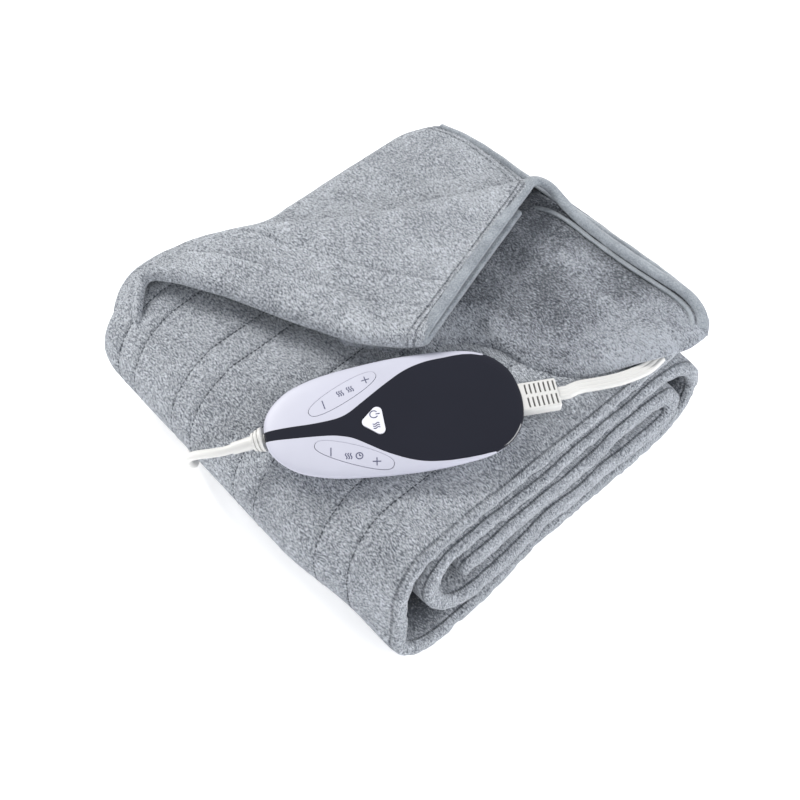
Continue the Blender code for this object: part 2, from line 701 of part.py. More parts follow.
def turned(name, profile, group, skin=None, steps=24):
    """A profile of height, radius rows turned about Z, top to bottom, closed at both ends."""
    mesh = bpy.data.meshes.new(name)
    shape = bmesh.new()
    ends = [(profile[0][0], 0.0)] + list(profile) + [(profile[-1][0], 0.0)]
    verts = [shape.verts.new((radius * MM, 0.0, height * MM)) for height, radius in ends]
    for a, b in zip(verts, verts[1:]):
        shape.edges.new((a, b))
    shape.to_mesh(mesh)
    shape.free()
    thing = add_object(name, mesh, group, skin)
    screw = thing.modifiers.new("turned", "SCREW")
    screw.steps = steps
    screw.render_steps = steps
    screw.use_merge_vertices = True
    screw.merge_threshold = 0.00001
    return thing


def mains_relief_frame():
    """Places a profile turned about Z so that -Z points out of the shell's end, drooping a little."""
    place = Matrix.Translation(Vector(MAINS_RELIEF_AT) * MM)
    return place @ Matrix.Rotation(math.pi / 2 - MAINS_RELIEF_DROOP, 4, "Y")


def reliefs(parts, cutters, soft, shells):
    profile = [(-distance, radius) for distance, radius in MAINS_RELIEF]
    mains = turned("mains_relief", profile, parts, soft)
    length, radius = MAINS_BORE
    bore = turned("mains_bore", ((length, radius), (-length, radius)), cutters)
    for thing in (mains, bore):
        thing.matrix_world = mains_relief_frame()

    block = box("lead_relief", SLOT_BLOCK_AT, SLOT_BLOCK, parts, soft)
    rounded(block, SLOT_BLOCK_ROUND)
    slots = []
    for index in range(SLOT_COUNT):
        for side in (1, -1):
            across = SLOT_BLOCK_AT[1] + side * SLOT_OFFSET
            middle = (SLOT_FIRST + index * SLOT_PITCH, across, SLOT_BLOCK_AT[2])
            slot = box("slot", middle, (SLOT[0], SLOT[1], 2 * SLOT_BLOCK[2]), cutters)
            cut(block, slot)
            slots.append(slot)
    room = 2 * FIT_GAP / MM
    pocket = box("lead_pocket", SLOT_BLOCK_AT, tuple(side + room for side in SLOT_BLOCK), cutters)
    for half in shells:
        cut(half, bore)
        cut(half, pocket)
    return [mains, bore, block, pocket] + slots


# ---------------------------------------------------------------- cords, hank, ties and plug
def cords(parts, soft):
    frame = control_frame()
    aim = frame @ mains_relief_frame()
    out = -MAINS_RELIEF[-1][0] * MM - GAP
    lead_out = [tuple(aim @ Vector((0.0, 0.0, z))) for z in (out, out - CAP_LEAD)]
    line = smooth_line(lead_out[1:] + millimetres(MAINS_ROUTE), MAINS_SPACING)
    tube("mains_cord", lead_out[:1] + line, MAINS_RADIUS, parts, soft)
    tube("mains_tail", smooth_line(millimetres(TAIL_ROUTE), MAINS_SPACING), MAINS_RADIUS, parts, soft)
    end = (Vector(SLOT_BLOCK_AT) + Vector((SLOT_BLOCK[0] / 2, 0.0, 0.0))) * MM
    lead_out = [tuple(frame @ (end + Vector((x, 0.0, 0.0)))) for x in (GAP, GAP + CAP_LEAD)]
    line = smooth_line(lead_out[1:] + millimetres(LEAD_ROUTE), LEAD_SPACING)
    half = (LEAD_WIDE - LEAD_THICK) / 2
    tube("blanket_lead", lead_out[:1] + line, LEAD_THICK / 2, parts, soft, half_width=half)


def racetrack(radius):
    """A long outline with round ends about the hank's middle."""
    ring = []
    for side in (1, -1):
        for step in range(HANK_STEPS + 1):
            angle = math.pi * (step / HANK_STEPS - 0.5) + (0.0 if side > 0 else math.pi)
            ring.append((HANK_AT[0] * MM + side * HANK_STRAIGHT / 2 + radius * math.cos(angle),
                         HANK_AT[1] * MM + radius * math.sin(angle)))
    return ring


def hank(parts, cutters, soft):
    low = TIE_THICK + GAP
    high = low + HANK_HEIGHT
    coil = prism("mains_hank", racetrack(HANK_OUTER), low, high, parts, soft)
    opening = prism("hank_opening", racetrack(HANK_INNER), low - HANK_HEIGHT, high + HANK_HEIGHT, cutters)
    cut(coil, opening)
    rounded(coil, HANK_ROUND)
    tie_skin = material("tie", (0.12, 0.12, 0.13), 0.5)
    bundle = (HANK_OUTER - HANK_INNER) / MM
    middle_y = (HANK_OUTER + HANK_INNER) / 2 / MM
    for side, name in ((-1, "hank_tie_front"), (1, "hank_tie_back")):
        middle = (HANK_AT[0], HANK_AT[1] + side * middle_y, (low + high) / 2 / MM)
        inner = (TIE_WIDE / MM * 2, bundle + TIE_ROOM, HANK_HEIGHT / MM + TIE_ROOM)
        outer = (TIE_WIDE / MM, inner[1] + 2 * TIE_THICK / MM, inner[2] + 2 * TIE_THICK / MM)
        tie = box(name, middle, outer, parts, tie_skin)
        cut(tie, box(name + "_inside", middle, inner, cutters))


def plug(parts, cutters, soft):
    metal = material("pin metal", (0.75, 0.74, 0.72), 0.25, 1.0)
    body = box("plug", PLUG_AT, PLUG_BODY, parts, soft)
    rounded(body, PLUG_ROUND)
    taper = turned("plug_taper", PLUG_TAPER, cutters)
    taper.matrix_world = Matrix.Translation(Vector(PLUG_AT) * MM) @ Matrix.Rotation(math.pi / 2, 4, "Y")
    join(body, (taper,))
    face = PLUG_AT[0] * MM + PLUG_BODY[0] / 2 * MM
    for side, name in ((-1, "plug_pin_front"), (1, "plug_pin_back")):
        aim = Matrix.Rotation(math.pi / 2, 4, "Y")
        spot = Vector((face, PLUG_AT[1] * MM + side * PIN_APART, PLUG_AT[2] * MM))
        root = -PIN_ROOT / MM
        tip = (PIN_LONG - PIN_ROOT) / MM
        radius = PIN_RADIUS / MM
        profile = ((tip, radius - PIN_CHAMFER), (tip - PIN_CHAMFER, radius), (root, radius))
        pin = turned(name, profile, parts, metal, PIN_SIDES)
        room = GAP / MM
        profile = ((tip, radius + room), (root - room, radius + room))
        pocket = turned(name + "_pocket", profile, cutters, None, PIN_SIDES)
        for thing in (pin, pocket):
            thing.matrix_world = Matrix.Translation(spot) @ aim
        cut(body, pocket)


def main():
    clear_scene()
    parts = collection("electric_heated_blanket")
    cutters = collection("cutters")
    plush = material("grey plush", (0.42, 0.44, 0.47), 0.9)
    tape = material("edge tape", (0.47, 0.49, 0.51), 0.7)
    soft = material("cord white", (0.80, 0.80, 0.82), 0.5)
    blanket = strip(parts, plush)
    join(blanket, (panel(cutters), flap(cutters)))
    bindings(parts, tape)
    control(parts, cutters, soft)
    cords(parts, soft)
    hank(parts, cutters, soft)
    plug(parts, cutters, soft)
    for thing in (*parts.objects, *cutters.objects):
        thing.location -= Vector(MIDDLE) * MM


main()
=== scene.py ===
"""A heated plush throw folded into a square pile, with its hand control and its cords.

The tables are in millimetres. The pile stands on z = 0, its folds run along Y, and the stacked
long edges of its layers face the front (-Y).
"""
import math

import bpy
import numpy as np
from mathutils import Matrix, Vector, noise
from mathutils.bvhtree import BVHTree


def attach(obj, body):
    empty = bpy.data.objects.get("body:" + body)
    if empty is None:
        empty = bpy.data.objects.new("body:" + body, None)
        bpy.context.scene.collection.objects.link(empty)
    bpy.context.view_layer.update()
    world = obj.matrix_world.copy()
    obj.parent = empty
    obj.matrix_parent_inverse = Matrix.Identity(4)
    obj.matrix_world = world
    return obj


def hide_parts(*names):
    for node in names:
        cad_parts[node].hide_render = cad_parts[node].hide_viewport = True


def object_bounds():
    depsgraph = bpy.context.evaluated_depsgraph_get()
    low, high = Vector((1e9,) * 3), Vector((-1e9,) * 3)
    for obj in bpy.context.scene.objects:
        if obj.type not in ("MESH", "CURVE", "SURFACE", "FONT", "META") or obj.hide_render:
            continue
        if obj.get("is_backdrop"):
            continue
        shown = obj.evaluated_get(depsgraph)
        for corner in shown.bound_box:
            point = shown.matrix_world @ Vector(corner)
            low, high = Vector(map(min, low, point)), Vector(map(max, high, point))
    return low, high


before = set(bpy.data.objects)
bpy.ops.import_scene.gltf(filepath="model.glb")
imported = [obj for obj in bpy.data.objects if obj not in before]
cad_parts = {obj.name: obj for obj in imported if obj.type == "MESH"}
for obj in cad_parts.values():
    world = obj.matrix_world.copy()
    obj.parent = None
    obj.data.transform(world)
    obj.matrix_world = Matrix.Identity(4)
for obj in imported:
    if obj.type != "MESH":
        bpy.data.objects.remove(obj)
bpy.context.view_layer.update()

MM = 0.001
BODY = "pile"
# The tables' origin in the row frame
OFFSET = Vector((-0.2, -1.4, 0.0)) * MM


def smooth(value):
    """Rises softly from 0 to 1 as value does."""
    value = min(max(value, 0.0), 1.0)
    return value * value * (3.0 - 2.0 * value)


def mix(a, b, share):
    return a + (b - a) * share


def at(x, y, z):
    return Vector((x, y, z)) * MM + OFFSET


def through(rows, steps, closed=False):
    """Rows of numbers filled in along a smooth curve that passes through each of them."""
    rows = [np.array(row, float) for row in rows]
    if closed:
        ends = [rows[-1]] + rows + [rows[0], rows[1]]
    else:
        ends = [2 * rows[0] - rows[1]] + rows + [2 * rows[-1] - rows[-2]]
    filled = []
    for a, b, c, d in zip(ends, ends[1:], ends[2:], ends[3:]):
        for step in range(steps):
            t = step / steps
            filled.append(0.5 * (2 * b + (c - a) * t + (2 * a - 5 * b + 4 * c - d) * t ** 2
                                 + (3 * b - a - 3 * c + d) * t ** 3))
    if not closed:
        filled.append(rows[-1])
    return filled


def spaced(points, spacing):
    """Even points along a line of points."""
    points = np.array([tuple(p) for p in points], float)
    spans = np.linalg.norm(np.diff(points, axis=0), axis=1)
    along = np.concatenate(([0.0], np.cumsum(spans)))
    count = max(2, round(along[-1] / spacing))
    places = np.linspace(0.0, along[-1], count + 1)
    return [Vector([np.interp(p, along, points[:, axis]) for axis in range(3)]) for p in places]


def flowing(points, spacing):
    """Even points along a smooth curve through the given ones."""
    return spaced(through([tuple(p) for p in points], 24), spacing)


# ---------------- small workshop steps
def clear_choice():
    if bpy.context.mode != "OBJECT":
        bpy.ops.object.mode_set(mode="OBJECT")
    bpy.ops.object.select_all(action="DESELECT")


def choose(piece):
    clear_choice()
    piece.select_set(True)
    bpy.context.view_layer.objects.active = piece


def apply_all(piece):
    choose(piece)
    for step in list(piece.modifiers):
        bpy.ops.object.modifier_apply(modifier=step.name)


def face_out(piece):
    choose(piece)
    bpy.ops.object.mode_set(mode="EDIT")
    bpy.ops.mesh.select_all(action="SELECT")
    bpy.ops.mesh.remove_doubles(threshold=0.000005)
    bpy.ops.mesh.normals_make_consistent(inside=False)
    bpy.ops.object.mode_set(mode="OBJECT")


def shade(piece, angle=None):
    choose(piece)
    if angle is None:
        bpy.ops.object.shade_smooth()
    else:
        bpy.ops.object.shade_smooth_by_angle(angle=math.radians(angle))


def fix_place(piece):
    choose(piece)
    bpy.ops.object.transform_apply(location=True, rotation=True, scale=True)


def paint(piece, skin):
    piece.data.materials.clear()
    piece.data.materials.append(skin)


def named(name):
    """The piece that the last step made, under its own name."""
    piece = bpy.context.object
    piece.name = name
    return piece


def faces_round(rings, sides, start=0):
    """Faces round a row of rings of points, and one over each end."""
    faces = []
    for a in range(start, start + (rings - 1) * sides, sides):
        faces += [(a + k, a + (k + 1) % sides, a + sides + (k + 1) % sides, a + sides + k)
                  for k in range(sides)]
    last = start + (rings - 1) * sides
    return faces + [tuple(range(start, start + sides)), tuple(range(last, last + sides))]


def built(name, verts, faces, angle=None):
    """A piece from its points and faces, facing outwards and shaded smooth."""
    clear_choice()
    bpy.ops.mesh.primitive_cylinder_add(vertices=6)
    piece = named(name)
    piece.data.clear_geometry()
    piece.data.from_pydata(verts, [], faces)
    face_out(piece)
    shade(piece, angle)
    return piece


def fit(piece, body, skin, replaces=()):
    """Hands a finished piece over: its body, its finish and the plain solids that it stands for."""
    paint(piece, skin)
    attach(piece, body)
    if replaces:
        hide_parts(*replaces)


def join(pieces, name):
    clear_choice()
    for piece in pieces:
        piece.select_set(True)
    bpy.context.view_layer.objects.active = pieces[0]
    if len(pieces) > 1:
        bpy.ops.object.join()
    pieces[0].name = name
    return pieces[0]


def tube(name, line, radius, sides):
    """A round tube along a line of points, its ends closed."""
    data = bpy.data.curves.new(name, "CURVE")
    data.dimensions = "3D"
    data.bevel_depth = radius
    data.bevel_resolution = sides
    data.use_fill_caps = True
    data.twist_mode = "MINIMUM"
    spline = data.splines.new("POLY")
    spline.points.add(len(line) - 1)
    for point, place in zip(spline.points, line):
        point.co = (*place, 1.0)
    piece = bpy.data.objects.new(name, data)
    bpy.context.scene.collection.objects.link(piece)
    return piece


def to_mesh(piece):
    choose(piece)
    bpy.ops.object.convert(target="MESH")
    return bpy.context.object


# ---------------- finishes
class Finish:
    """A material with short words for its nodes."""

    def __init__(self, name):
        self.skin = bpy.data.materials.new(name)
        self.skin.use_nodes = True
        self.tree = self.skin.node_tree
        self.shader = self.tree.nodes["Principled BSDF"]
        self.place = self.add("ShaderNodeTexCoord").outputs["Object"]

    def put(self, socket, value):
        """Feeds a socket with a number or with another node's output."""
        if hasattr(value, "is_linked"):
            self.tree.links.new(value, socket)
        else:
            socket.default_value = value

    def add(self, kind, feeds=(), **settings):
        """A node with its settings, its sockets fed by their names or numbers."""
        node = self.tree.nodes.new(kind)
        for key, value in settings.items():
            setattr(node, key, value)
        for key, value in dict(feeds).items():
            self.put(node.inputs[key], value)
        return node

    def math(self, operation, *values, clamp=False):
        return self.add("ShaderNodeMath", enumerate(values), operation=operation, use_clamp=clamp).outputs[0]

    def plus(self, a, b, clamp=False):
        return self.math("ADD", a, b, clamp=clamp)

    def less(self, a, b):
        return self.math("SUBTRACT", a, b)

    def times(self, a, b):
        return self.math("MULTIPLY", a, b)

    def vector(self, operation, feeds):
        return self.add("ShaderNodeVectorMath", feeds, operation=operation).outputs[0]

    def parts(self, vector):
        return self.add("ShaderNodeSeparateXYZ", {0: vector}).outputs

    def grain(self, scale, detail=2.0, rough=0.5, distortion=0.0, where=None, stretch=None):
        spot = where or self.place
        if stretch:
            spot = self.add("ShaderNodeMapping", {"Vector": spot, "Scale": stretch}).outputs[0]
        feeds = {"Vector": spot, "Scale": scale, "Detail": detail, "Roughness": rough,
                 "Distortion": distortion}
        return self.add("ShaderNodeTexNoise", feeds).outputs["Fac"]

    def swirled(self, scale, reach):
        """Object coordinates pushed about by a slow noise, so that the pile has no single lie."""
        push = self.add("ShaderNodeTexNoise", {"Vector": self.place, "Scale": scale}).outputs["Color"]
        middle = self.vector("SUBTRACT", {0: push, 1: (0.5, 0.5, 0.5)})
        sized = self.vector("SCALE", {0: middle, "Scale": reach})
        return self.vector("ADD", {0: self.place, 1: sized})

    def between(self, value, low, high, to_low=0.0, to_high=1.0):
        """Low to high of a value spread over another range, and held at its ends."""
        feeds = {"Value": value, "From Min": low, "From Max": high, "To Min": to_low, "To Max": to_high}
        return self.add("ShaderNodeMapRange", feeds).outputs["Result"]

    def below(self, value, low, high):
        """1 under low, falling to 0 at high."""
        return self.between(value, low, high, 1.0, 0.0)

    def near_lines(self, value, lines, width):
        """1 on each of the lines, falling to 0 at this width from them."""
        best = None
        for line in lines:
            close = self.below(self.math("ABSOLUTE", self.less(value, line)), 0.0, width)
            best = close if best is None else self.math("MAXIMUM", best, close)
        return best

    def cavity_shade_mask(self):
        """1 where shade is painted into the pile's hollows: the bottom layer's top and the insides of both
        wraps.
        """
        x, _, z = self.parts(self.place)
        across, _, up = self.parts(self.add("ShaderNodeNewGeometry").outputs["Normal"])
        bottom = self.times(self.below(z, 0.020, 0.026), self.between(up, 0.2, 0.5))
        left = self.times(self.below(x, -0.108, -0.098), self.between(across, 0.2, 0.5))
        right = self.times(self.between(x, 0.100, 0.110), self.below(across, -0.5, -0.2))
        sides = self.times(self.math("MAXIMUM", left, right), self.below(z, 0.066, 0.076))
        return self.math("MAXIMUM", bottom, sides)

    def blend(self, share, a, b):
        """One colour into another."""
        feeds = {"Factor": share, 6: (*a, 1.0), 7: (*b, 1.0)}
        return self.add("ShaderNodeMix", feeds, data_type="RGBA").outputs[2]

    def raise_by(self, height, distance, strength):
        feeds = {"Strength": strength, "Distance": distance, "Height": height}
        return self.add("ShaderNodeBump", feeds).outputs["Normal"]

    def set(self, **values):
        for key, value in values.items():
            self.put(self.shader.inputs[key.replace("_", " ")], value)
        return self.skin


STROKE_TONE = 0.58
TUFT_DEPTH = 0.03
# How far the seams wander, the width of each channel, which gets painted shade, and of its dark middle line
SEAM_WANDER, SEAM_SUNK, SEAM_CORE = 0.0007, 0.0030, 0.0009
RIB_WIDE = 0.0014
# Across the cloth from its front edge: where the painted shade inside the folds starts, and where it is full
CAVITY_SHADE_FROM, CAVITY_SHADE_FULL = 0.005, 0.016
PILE_RISE, PILE_STRENGTH = 0.0014, 0.95


def plush_finish(name, low, high, level, nap_scale, nap_depth, seams=(), seam_end=9.0, fold_highlight=0.0,
                 seam_line_and_shade=0.0, hem=(), ribs=(), painted_cavity_shade=0.0):
    """Short brushed pile: fine strokes that lie across the throw, tufts, a mottled nap and, where
    the cloth's own map says so, narrow sewn channels with painted shade in them, a painted highlight along
    the front edge, a hem or ribs, and painted shade on the faces inside the folds."""
    finish = Finish(name)
    lie = finish.swirled(34.0, 0.007)
    strokes = finish.grain(1450.0, 2.0, 0.65, 0.2, where=lie, stretch=(1.0, 0.34, 0.5))
    tufts = finish.grain(430.0, 2.0, 0.6, 0.8, where=lie, stretch=(1.0, 0.5, 0.7))
    nap = finish.grain(nap_scale, 4.0, 0.58, 0.5, stretch=(1.0, 0.7, 1.0))
    clouds = finish.grain(nap_scale * 3.1, 3.0, 0.6, 1.0)
    tone = finish.between(strokes, 0.32, 0.68, level - STROKE_TONE, level + STROKE_TONE)
    for layer, depth in ((tufts, TUFT_DEPTH), (nap, nap_depth), (clouds, nap_depth * 0.6)):
        tone = finish.plus(tone, finish.between(layer, 0.25, 0.75, -depth, depth))
    fine = finish.plus(finish.between(strokes, 0.2, 0.8, 0.0, 0.7), finish.between(tufts, 0.2, 0.8, 0.0, 0.8))
    along, across, _ = finish.parts(finish.add("ShaderNodeUVMap", uv_map="cloth").outputs[0])
    # Painted highlight: the cloth is lighter near its front edge, where the panel's fold rounds over
    if fold_highlight:
        tone = finish.plus(tone, finish.between(across, 0.012, 0.06, fold_highlight, 0.0))
    if seams:
        wander = finish.between(finish.grain(60.0, 2.0), 0.2, 0.8, -SEAM_WANDER, SEAM_WANDER)
        wavy = finish.plus(across, wander)
        short = finish.math("LESS_THAN", along, seam_end)
        sunk = finish.times(finish.near_lines(wavy, seams, SEAM_SUNK), short)
        core = finish.times(finish.near_lines(wavy, seams, SEAM_CORE), short)
        # The seam's dark middle line, which is partly the seam itself and partly painted shade in its crease,
        # then painted shade across the whole channel
        tone = finish.less(tone, finish.times(core, seam_line_and_shade))
        tone = finish.less(tone, finish.times(sunk, 0.04))
        fine = finish.less(fine, finish.times(sunk, 0.9))
    # Painted shade: the faces inside the folds are darkened, rising from a little way in from the front edge
    if painted_cavity_shade:
        deep = finish.between(across, CAVITY_SHADE_FROM, CAVITY_SHADE_FULL, 0.0, painted_cavity_shade)
        tone = finish.less(tone, finish.times(finish.cavity_shade_mask(), deep))
    for value, lines in ((across, hem), (along, ribs)):
        if lines:
            line = finish.near_lines(value, lines, RIB_WIDE)
            tone = finish.less(tone, finish.times(line, 0.30))
            fine = finish.less(fine, finish.times(line, 1.2))
    colour = finish.blend(finish.math("MAXIMUM", finish.math("MINIMUM", tone, 1.0), 0.0), low, high)
    return finish.set(Base_Color=colour, Roughness=0.94,
                      Normal=finish.raise_by(fine, PILE_RISE, PILE_STRENGTH),
                      Specular_IOR_Level=0.12, Sheen_Weight=0.35, Sheen_Roughness=0.5,
                      Sheen_Tint=(0.86, 0.9, 0.96, 1.0))


def tape_finish(name, low=(0.19, 0.21, 0.235), high=(0.42, 0.455, 0.49)):
    """Close-woven edge tape: a fine, uneven weave, a little soiled."""
    finish = Finish(name)
    weave = finish.grain(1200.0, 2.0, 0.6)
    soil = finish.grain(90.0, 3.0, 0.6)
    tone = finish.plus(finish.between(weave, 0.3, 0.7, -0.35, 0.55), finish.between(soil, 0.3, 0.7, 0.1, 0.6),
                       clamp=True)
    colour = finish.blend(tone, low, high)
    return finish.set(Base_Color=colour, Roughness=0.85, Normal=finish.raise_by(weave, 0.0005, 0.8),
                      Specular_IOR_Level=0.25, Sheen_Weight=0.35, Sheen_Roughness=0.4)


def plastic_finish(name, colour, roughness, grain=0.00002):
    """Moulded plastic with a faint surface texture and slightly uneven tone."""
    finish = Finish(name)
    cloud = finish.grain(22.0, 3.0, 0.6)
    texture = finish.grain(2600.0, 1.0, 0.5)
    darker = tuple(value * 0.94 for value in colour)
    tone = finish.blend(finish.between(cloud, 0.35, 0.65), darker, colour)
    rough = finish.between(texture, 0.3, 0.7, roughness * 0.9, roughness * 1.1)
    return finish.set(Base_Color=tone, Roughness=rough, Normal=finish.raise_by(texture, grain, 0.5),
                      Specular_IOR_Level=0.5)


def metal_finish(name):
    finish = Finish(name)
    drawn = finish.grain(1800.0, 2.0, 0.6, stretch=(0.1, 1.0, 1.0))
    rough = finish.between(drawn, 0.3, 0.7, 0.2, 0.34)
    tone = finish.blend(finish.between(drawn, 0.3, 0.7), (0.62, 0.61, 0.59), (0.78, 0.77, 0.74))
    return finish.set(Base_Color=tone, Roughness=rough, Metallic=1.0)


STRIP_STITCHES = (0.274, 0.255, 0.212, 0.191, 0.143, 0.121, 0.066, 0.041)
STRIP_STITCH_START, STRIP_STITCH_END = 0.10, 0.40
FLAP_STITCHES = (0.029, 0.052)
PLUSH_LOW, PLUSH_HIGH = (0.105, 0.117, 0.136), (0.64, 0.67, 0.715)
# The strip's plush, with painted shade in its sewn channels and on the faces inside its folds
PLUSH = plush_finish("light plush", PLUSH_LOW, PLUSH_HIGH, 0.46, 24.0, 0.11, STRIP_STITCHES,
                     STRIP_STITCH_END, seam_line_and_shade=0.06, hem=(0.0062,), painted_cavity_shade=0.55)
FLAP_PLUSH = plush_finish("light plush of the flap", PLUSH_LOW, PLUSH_HIGH, 0.52, 21.0, 0.17,
                          FLAP_STITCHES, seam_line_and_shade=0.10, ribs=(-0.0072, -0.0118))
# The panel's plush: the same cloth, its darker tone painted shade of the nap lying against the light, with a
# painted highlight along its front edge
NAP_SHADED_PLUSH = plush_finish("brushed plush with painted nap shade", (0.055, 0.062, 0.075), (0.50, 0.53, 0.58),
                          0.30, 17.0, 0.38, fold_highlight=0.38)
TAPE = tape_finish("edge tape")
# The panel's piping: the edge tape's weave in paler tones, a painted highlight along the bound edge
PIPING_WITH_HIGHLIGHT = tape_finish("piping with painted highlight", (0.24, 0.265, 0.29), (0.42, 0.45, 0.48))
THREAD = plastic_finish("dark thread", (0.035, 0.04, 0.05), 0.85)
CORD = plastic_finish("cord white", (0.70, 0.695, 0.675), 0.45, 0.00004)
SHELL = plastic_finish("pale shell", (0.56, 0.565, 0.655), 0.5)
GLASS = plastic_finish("glossy window", (0.013, 0.014, 0.023), 0.06, 0.000002)
KEY = plastic_finish("white key", (0.82, 0.82, 0.90), 0.32)
SIGN = plastic_finish("printed sign", (0.075, 0.08, 0.15), 0.5)
BAND = plastic_finish("hank tie", (0.06, 0.06, 0.065), 0.55, 0.0001)
PIN = metal_finish("pin metal")

# ---------------- the view and the light
CAMERA_AT = (-0.3192, -0.3494, 0.7163)
CAMERA_TURN = (math.radians(33.0), 0.0, math.radians(-42.0))
LENS = 51.75
ROOM_LIGHT, FLOOR_GLOW, FLOOR_SIDE = 0.36, 0.45, 60.0
# Softboxes: place, what it faces, width, height, watts, colour
SOFTBOXES = (
    ((-0.05, 1.20, 1.05), (0.0, 0.0, 0.05), 0.6, 0.5, 25.0, (1.0, 0.99, 0.97)),
    ((-1.25, -0.40, 0.30), (0.0, 0.0, 0.03), 0.8, 0.4, 5.2, (0.97, 0.98, 1.0)),
    ((0.85, -1.10, 0.60), (0.0, 0.0, 0.03), 0.9, 0.6, 15.0, (0.97, 0.98, 1.0)),
    ((-0.30, -1.20, 1.00), (0.0, 0.0, 0.05), 0.7, 0.5, 4.0, (1.0, 1.0, 1.0)),
)


def camera():
    clear_choice()
    bpy.ops.object.camera_add(location=CAMERA_AT, rotation=CAMERA_TURN)
    eye = named("view")
    eye.data.sensor_width = 36.0
    eye.data.lens = LENS
    eye.data.clip_start = 0.01
    bpy.context.scene.camera = eye


def lights():
    for index, (place, target, wide, high, watts, colour) in enumerate(SOFTBOXES):
        aim = (Vector(target) - Vector(place)).to_track_quat("-Z", "Y").to_euler()
        clear_choice()
        bpy.ops.object.light_add(type="AREA", location=place, rotation=aim)
        lamp = named(f"softbox_{index}")
        lamp.data.shape = "RECTANGLE"
        lamp.data.size = wide
        lamp.data.size_y = high
        lamp.data.energy = watts
        lamp.data.color = colour
    world = bpy.data.worlds.new("studio")
    bpy.context.scene.world = world
    world.use_nodes = True
    back = world.node_tree.nodes["Background"]
    back.inputs["Color"].default_value = (0.93, 0.95, 1.0, 1.0)
    back.inputs["Strength"].default_value = ROOM_LIGHT
    bpy.context.scene.view_settings.view_transform = "Standard"


def floor():
    clear_choice()
    bpy.ops.mesh.primitive_plane_add(size=FLOOR_SIDE)
    ground = named("floor")
    finish = Finish("pale floor")
    soft = finish.grain(3.0, 2.0, 0.5)
    tone = finish.blend(soft, (0.90, 0.90, 0.905), (0.93, 0.93, 0.93))
    paint(ground, finish.set(Base_Color=tone, Roughness=0.9, Specular_IOR_Level=0.1,
                             Emission_Strength=FLOOR_GLOW, Emission_Color=(1.0, 1.0, 1.0, 1.0)))
    ground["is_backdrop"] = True


# ---------------- the control's own frame
CONTROL_AT = (-60.4, -55.2, 86.8)
CONTROL = (Matrix.Translation(at(*CONTROL_AT)) @ Matrix.Rotation(math.radians(-31.0), 4, "Z")
           @ Matrix.Rotation(math.radians(3.0), 4, "X"))
RELIEF_AT, RELIEF_TILT, RELIEF_END = (-82.8, 0.5, 7.0), math.radians(75.0), 22.0
RELIEF = CONTROL @ Matrix.Translation(Vector(RELIEF_AT) * MM) @ Matrix.Rotation(RELIEF_TILT, 4, "Y")

# ---------------- cords
# A cord starts this far outside its relief and runs straight up to here
LEAVES_AT = (0.3, 6.3)
MAINS_THICK, MAINS_STEP = 6.0, 5.0
MAINS_ROUTE = ((-160.0, 9.5, 80.8), (-164.4, 20.0, 70.4), (-165.8, 31.0, 55.0), (-164.8, 37.5, 42.0),
               (-162.0, 42.5, 28.0), (-157.5, 47.0, 15.5), (-152.0, 55.0, 7.2), (-148.0, 66.0, 3.8),
               (-146.0, 80.0, 3.3), (-145.5, 105.0, 3.3), (-144.5, 128.0, 3.3), (-139.0, 146.0, 3.3),
               (-127.0, 159.0, 3.4), (-110.0, 163.5, 6.5), (-92.0, 161.0, 14.0), (-78.0, 155.0, 20.6),
               (-66.0, 148.6, 21.6), (-55.0, 144.4, 18.6))
HANK_AT = (-16.0, 160.8)
HANK_HALF = 30.0
# The centre line of each turn of the hank, in the order in which it is wound: radius, height
TURNS_OF_HANK = ((18.0, 16.3), (18.0, 10.3), (18.0, 4.3), (24.0, 4.3), (24.0, 10.3), (24.0, 16.3))
TAIL_ROUTE = ((24.0, 138.6, 15.0), (34.0, 143.6, 11.4), (44.0, 150.6, 8.4), (51.0, 154.0, 7.2),
              (57.6, 154.8, 7.0))
PLUG_PIECES = ("plug", "plug_pin_front", "plug_pin_back", "hank_tie_front", "hank_tie_back")


def hank_line():
    """Turns with two straight runs, each round a middle, all wound the same way."""
    line = []
    bend, straight = 10, 5
    for index, (radius, height) in enumerate(TURNS_OF_HANK):
        for step in range(straight + 1):
            x = mix(-HANK_HALF, HANK_HALF, step / straight)
            line.append((HANK_AT[0] + x, HANK_AT[1] - radius, height))
        if index == len(TURNS_OF_HANK) - 1:
            break
        next_radius, next_height = TURNS_OF_HANK[index + 1]
        for step in range(1, bend):
            angle = math.pi * (step / bend - 0.5)
            line.append((HANK_AT[0] + HANK_HALF + radius * math.cos(angle),
                         HANK_AT[1] + radius * math.sin(angle), height))
        for step in range(straight + 1):
            x = mix(HANK_HALF, -HANK_HALF, step / straight)
            line.append((HANK_AT[0] + x, HANK_AT[1] + radius, height))
        for step in range(1, bend):
            share = step / bend
            angle = math.pi * (share + 0.5)
            reach = mix(radius, next_radius, smooth(share))
            line.append((HANK_AT[0] - HANK_HALF + reach * math.cos(angle),
                         HANK_AT[1] + reach * math.sin(angle), mix(height, next_height, smooth(share))))
    return line


def mains():
    """The whole mains cord on one line: over the left fold, round the corner, hank, tail, plug."""
    start = [RELIEF @ Vector((0.0, 0.0, -(RELIEF_END + out) * MM)) for out in LEAVES_AT]
    route = [at(*row) for row in (*MAINS_ROUTE, *hank_line(), *TAIL_ROUTE)]
    line = start[:1] + flowing([start[1]] + route, MAINS_STEP * MM)
    cord = tube("mains_lead", line, MAINS_THICK / 2 * MM, 4)
    fit(cord, BODY, CORD, ("mains_cord", "mains_hank", "mains_tail"))


